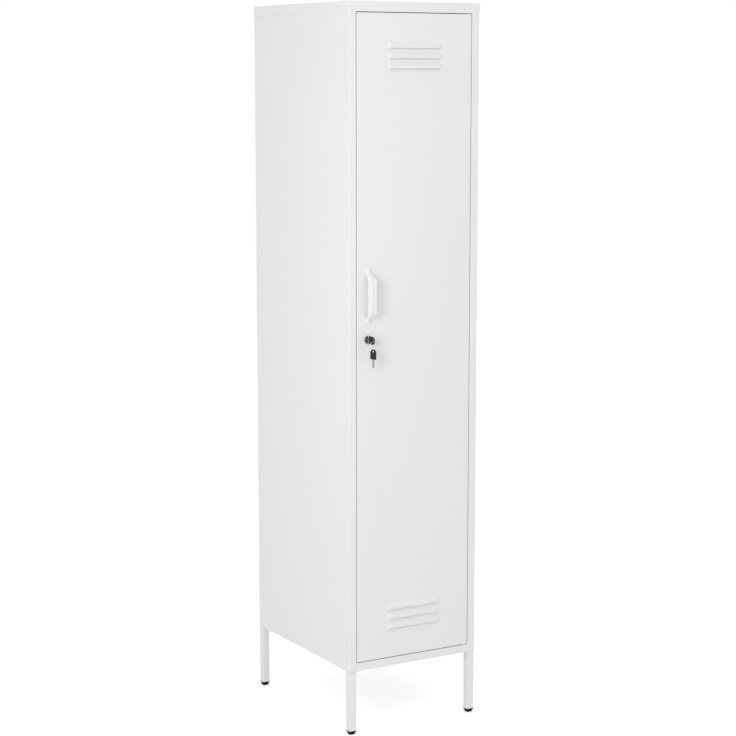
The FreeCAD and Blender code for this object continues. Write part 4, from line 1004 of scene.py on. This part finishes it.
# %% [markdown]
# ## Key ring
#
# A split ring is flat spring wire wound twice round, which is what holds the keys on. A torus would be a closed ring,
# so the wire's section is wound by a Screw modifier instead, two turns that lie side by side, and its two ends are
# closed.

# %% Wind the split ring
RING_RADIUS = 11.5
WIRE_HALF_WIDE, WIRE_HALF_THICK, WIRE_SIDES = 0.72, 0.36, 12
RING_TURNS, STEPS_A_TURN = 2, 96
UPRIGHT = math.radians(90)
ring_low, ring_high = box_mm("key_ring")
ring_centre = (ring_low + ring_high) / 2
wire_middle = Vector((RING_RADIUS, 0, -WIRE_HALF_THICK))
ring_steps = STEPS_A_TURN * RING_TURNS
select_nothing()
bpy.ops.mesh.primitive_circle_add(
    vertices=WIRE_SIDES, radius=MM, location=wire_middle * MM, rotation=FACING_FRONT)
split_ring = open_primitive("split_ring")
bpy.ops.mesh.select_all(action="SELECT")
scale_about(wire_middle, x=WIRE_HALF_WIDE, z=WIRE_HALF_THICK)
apply_modifier(
    split_ring, "SCREW", angle=math.tau * RING_TURNS, screw_offset=2 * WIRE_HALF_THICK * MM, steps=ring_steps,
    render_steps=ring_steps, axis="Z")
edit(split_ring)
choose(split_ring, "edges", at(), rims_only=True)
bpy.ops.mesh.fill_holes(sides=0)
face_outwards()
upright_ring = Matrix.Rotation(RING_YAW, 4, "Z") @ Matrix.Rotation(UPRIGHT, 4, "X")
set_down(split_ring, Matrix.Translation(ring_centre * MM) @ upright_ring)
complete(split_ring, "ring", "zinc_steel", zinc, "key_ring")

# %% [markdown]
# ## Glides
#
# The legs stand on moulded black glides. Each has a rim as wide as the tube, a narrower tip below it, and a stem that
# plugs into the tube. The block is the rim: its lower face is drawn in and down, and then straight down to the floor.
# The stem is drawn up from an inset in the rim's upper face. One is modelled and the other three are copies.

# %% Mould the glides
GLIDE_TIP = 15.0
TIP_HEIGHT = 5.5
RIM_BOTTOM = 7.5
GLIDE_HEIGHT = 10.0
GLIDE_ROUND, GLIDE_STEPS = 0.8, 4
STEM_INSET = 1.3
foot_low, foot_high = box_mm("front_left_foot")
foot_middle = (foot_low + foot_high) / 2
rim_heights = (RIM_BOTTOM, GLIDE_HEIGHT)
glide = block("front_left_glide", (foot_low.x, foot_high.x), (foot_low.y, foot_high.y), rim_heights)
choose(glide, "faces", at(z=GLIDE_HEIGHT))
bpy.ops.mesh.inset(thickness=STEM_INSET * MM)
extrude(z=foot_high.z - GLIDE_HEIGHT)
choose(glide, "faces", at(z=RIM_BOTTOM))
extrude(z=TIP_HEIGHT - RIM_BOTTOM)
tip_share = GLIDE_TIP / (foot_high.x - foot_low.x)
scale_about((foot_middle.x, foot_middle.y, 0), x=tip_share, y=tip_share)
extrude(z=-TIP_HEIGHT)


def corner_edge(corners):
    """Pass the corners of the rim and of the tip, and the edges of the lower face."""
    heights = [corner.z for corner in corners]
    upright = min(heights) + CLOSE < max(heights) <= GLIDE_HEIGHT + CLOSE
    return upright or at(z=0)(corners)


choose(glide, "edges", corner_edge)
soften(GLIDE_ROUND, GLIDE_STEPS)
face_outwards()
for node in ("front_right_foot", "rear_left_foot", "rear_right_foot"):
    twin = copy_of(glide, node.replace("foot", "glide"))
    shift = box_mm(node)[0] - foot_low
    set_down(twin, Matrix.Translation(shift * MM))
    complete(twin, "cabinet", "black_plastic", black_glide, node)
complete(glide, "cabinet", "black_plastic", black_glide, "front_left_foot")

# %% [markdown]
# ## Screws of the back and the cap
#
# The back and the cap are held by pan-head screws with a cross recess. The head and shank are turned, and the cross
# is cut with two crossed bars.

# %% Turn one screw
HEAD_RADIUS = 4.0
HEAD_HEIGHT = 2.2
SCREW_TIP = 8.0
SCREW_RINGS = [
    (1.2, -SCREW_TIP), (2.0, -7.0), (2.0, 0.0), (HEAD_RADIUS, 0.0), (HEAD_RADIUS, 0.9), (3.75, 1.5), (3.2, 1.95),
    (2.2, HEAD_HEIGHT),
]
SCREW_SIDES = 32
CROSS_DEPTH = 1.3
CROSS_LONG, CROSS_WIDE = 2.1, 0.45
PAST_HEAD = 3.0


def first_place(low):
    """Give the place of the lowest screw at the left from the low corner of a group of screws."""
    return low + Vector((HEAD_RADIUS, SCREW_TIP, HEAD_RADIUS))


back_low, back_high = box_mm("back_panel_screws")
back_first = first_place(back_low)
screws = turn("back_screws", back_first, SCREW_RINGS, SCREW_SIDES)
x, y, z = back_first
cross_depths = (y + HEAD_HEIGHT - CROSS_DEPTH, y + PAST_HEAD)
for half_x, half_z in ((CROSS_LONG, CROSS_WIDE), (CROSS_WIDE, CROSS_LONG)):
    bar = block("cross_bar", (x - half_x, x + half_x), cross_depths, (z - half_z, z + half_z))
    cut_away(screws, bar)
print("screw of", SCREW_TIP + HEAD_HEIGHT, "mm")

# %% [markdown]
# Copies go to the place of each screw: two columns of five on the back, and two on the cap.

# %% Copy the screw
BACK_ROWS = 5
across = back_high.x - back_low.x - 2 * HEAD_RADIUS
row_step = (back_high.z - back_low.z - 2 * HEAD_RADIUS) / (BACK_ROWS - 1)
cap_screws = copy_of(screws, "cap_screws")
edit(screws)
bpy.ops.mesh.select_all(action="SELECT")
for _ in range(BACK_ROWS - 1):
    repeat(z=row_step)
bpy.ops.mesh.select_all(action="SELECT")
repeat(x=across)
complete(screws, "cabinet", "zinc_steel", zinc, "back_panel_screws")
edit(cap_screws)
bpy.ops.mesh.select_all(action="SELECT")
move(*(first_place(box_mm("top_panel_screws")[0]) - back_first))
repeat(x=across)
complete(cap_screws, "cabinet", "zinc_steel", zinc, "top_panel_screws")

# %% [markdown]
# ## Floor and world
#
# The cabinet was photographed on plain white. The floor is a pale plane that takes the soft shadow of the legs; rays
# from the camera see it a little brighter, so that it melts into the white world behind it.

# %% Floor
FLOOR_SIZE = 14.0
FLOOR_SHADE = 0.94
FLOOR_ROUGH = 0.9
FLOOR_GLOW = 0.36


def camera_rays(tree):
    """Give a mask that is 1 for what the camera, a mirror or clear glass sees."""
    path = tree.nodes.new("ShaderNodeLightPath")
    seen = math_node(tree, "MAXIMUM", path.outputs["Is Camera Ray"], path.outputs["Is Glossy Ray"])
    return math_node(tree, "MAXIMUM", seen, path.outputs["Is Transmission Ray"])


select_nothing()
bpy.ops.mesh.primitive_plane_add(size=FLOOR_SIZE, location=(0, 0, 0))
floor = bpy.context.object
floor.name = "studio_floor"
floor_paint = bpy.data.materials.new("studio_floor")
floor_paint.use_nodes = True
floor_tree = floor_paint.node_tree
floor_shader = floor_tree.nodes["Principled BSDF"]
floor_shader.inputs["Base Color"].default_value = (FLOOR_SHADE, FLOOR_SHADE, FLOOR_SHADE, 1)
floor_shader.inputs["Roughness"].default_value = FLOOR_ROUGH
floor_shader.inputs["Emission Color"].default_value = (1, 1, 1, 1)
floor_glow = math_node(floor_tree, "MULTIPLY", camera_rays(floor_tree), FLOOR_GLOW)
floor_tree.links.new(floor_glow, floor_shader.inputs["Emission Strength"])
floor.data.materials.append(floor_paint)
print("floor of", FLOOR_SIZE, "m")

# %% [markdown]
# The world is white to the camera and to mirror-like surfaces, and gives everything else a weaker, even fill.

# %% World
FILL_LEVEL = 0.742
world = bpy.data.worlds.new("studio")
bpy.context.scene.world = world
world.use_nodes = True
sky_tree = world.node_tree
sky = sky_tree.nodes["Background"]
sky.inputs["Color"].default_value = (1, 1, 1, 1)
seen_part = math_node(sky_tree, "MULTIPLY", camera_rays(sky_tree), 1 - FILL_LEVEL)
sky_tree.links.new(math_node(sky_tree, "ADD", seen_part, FILL_LEVEL), sky.inputs["Strength"])
print("fill level", FILL_LEVEL)

# %% [markdown]
# ## Lights
#
# Two soft boxes light the cabinet. The key light stands to the left in front of it, a little above its middle. It is
# near enough for the light to fall off towards the back of the side panel and the far edge of the door, as in the
# photograph, and the handle and keys throw soft shadows to the right. The front light is larger and weaker. It stands
# high in front and brightens the upper slopes of the louvres.

# %% Soft boxes
AIM = Vector((0, -0.1, 1.0))


def soft_box(name, azimuth, elevation, distance, size, power):
    """Aim a (wide, high) area light at the middle of the cabinet. Azimuth counts to the left of the door's front."""
    a = math.radians(azimuth)
    e = math.radians(elevation)
    way = Vector((-math.sin(a) * math.cos(e), -math.cos(a) * math.cos(e), math.sin(e)))
    bpy.ops.object.light_add(type="AREA", location=AIM + way * distance)
    lamp = bpy.context.object
    lamp.name = name
    lamp.data.energy = power
    lamp.data.shape = "RECTANGLE"
    lamp.data.size, lamp.data.size_y = size
    lamp.rotation_mode = "QUATERNION"
    lamp.rotation_quaternion = (-way).to_track_quat("-Z", "Y")
    return lamp


key_light = soft_box("key_soft_box", azimuth=54, elevation=13, distance=2.2, size=(0.6, 1.0), power=12.5)
front_light = soft_box("front_soft_box", azimuth=4, elevation=42, distance=3.2, size=(2.2, 2.2), power=9.0)
for lamp in (key_light, front_light):
    print(lamp.name, "at", [round(place, 2) for place in lamp.location])

# %% [markdown]
# ## Camera
#
# The camera stands to the left of the cabinet, a little below its top, and looks slightly down. Its place and lens
# were found by fitting the cabinet's corners to the photograph.

# %% Camera
CAMERA_PLACE = (-2.586, -4.402, 1.672)
SENSOR = 36.0
IMAGE_SIDE = 736
FOCAL_PIXELS = 1954.9
CAMERA_AZIMUTH = math.radians(30.447)
CAMERA_FALL = math.radians(8.524)
bpy.ops.object.camera_add(location=CAMERA_PLACE)
camera = bpy.context.object
camera.data.sensor_width = SENSOR
camera.data.lens = SENSOR * FOCAL_PIXELS / IMAGE_SIDE
look = Vector((
    math.sin(CAMERA_AZIMUTH) * math.cos(CAMERA_FALL),
    math.cos(CAMERA_AZIMUTH) * math.cos(CAMERA_FALL),
    -math.sin(CAMERA_FALL),
))
camera.rotation_mode = "QUATERNION"
camera.rotation_quaternion = look.to_track_quat("-Z", "Y")
bpy.context.scene.camera = camera
bpy.context.scene.view_settings.view_transform = "Standard"
print("lens of", round(camera.data.lens, 2), "mm")
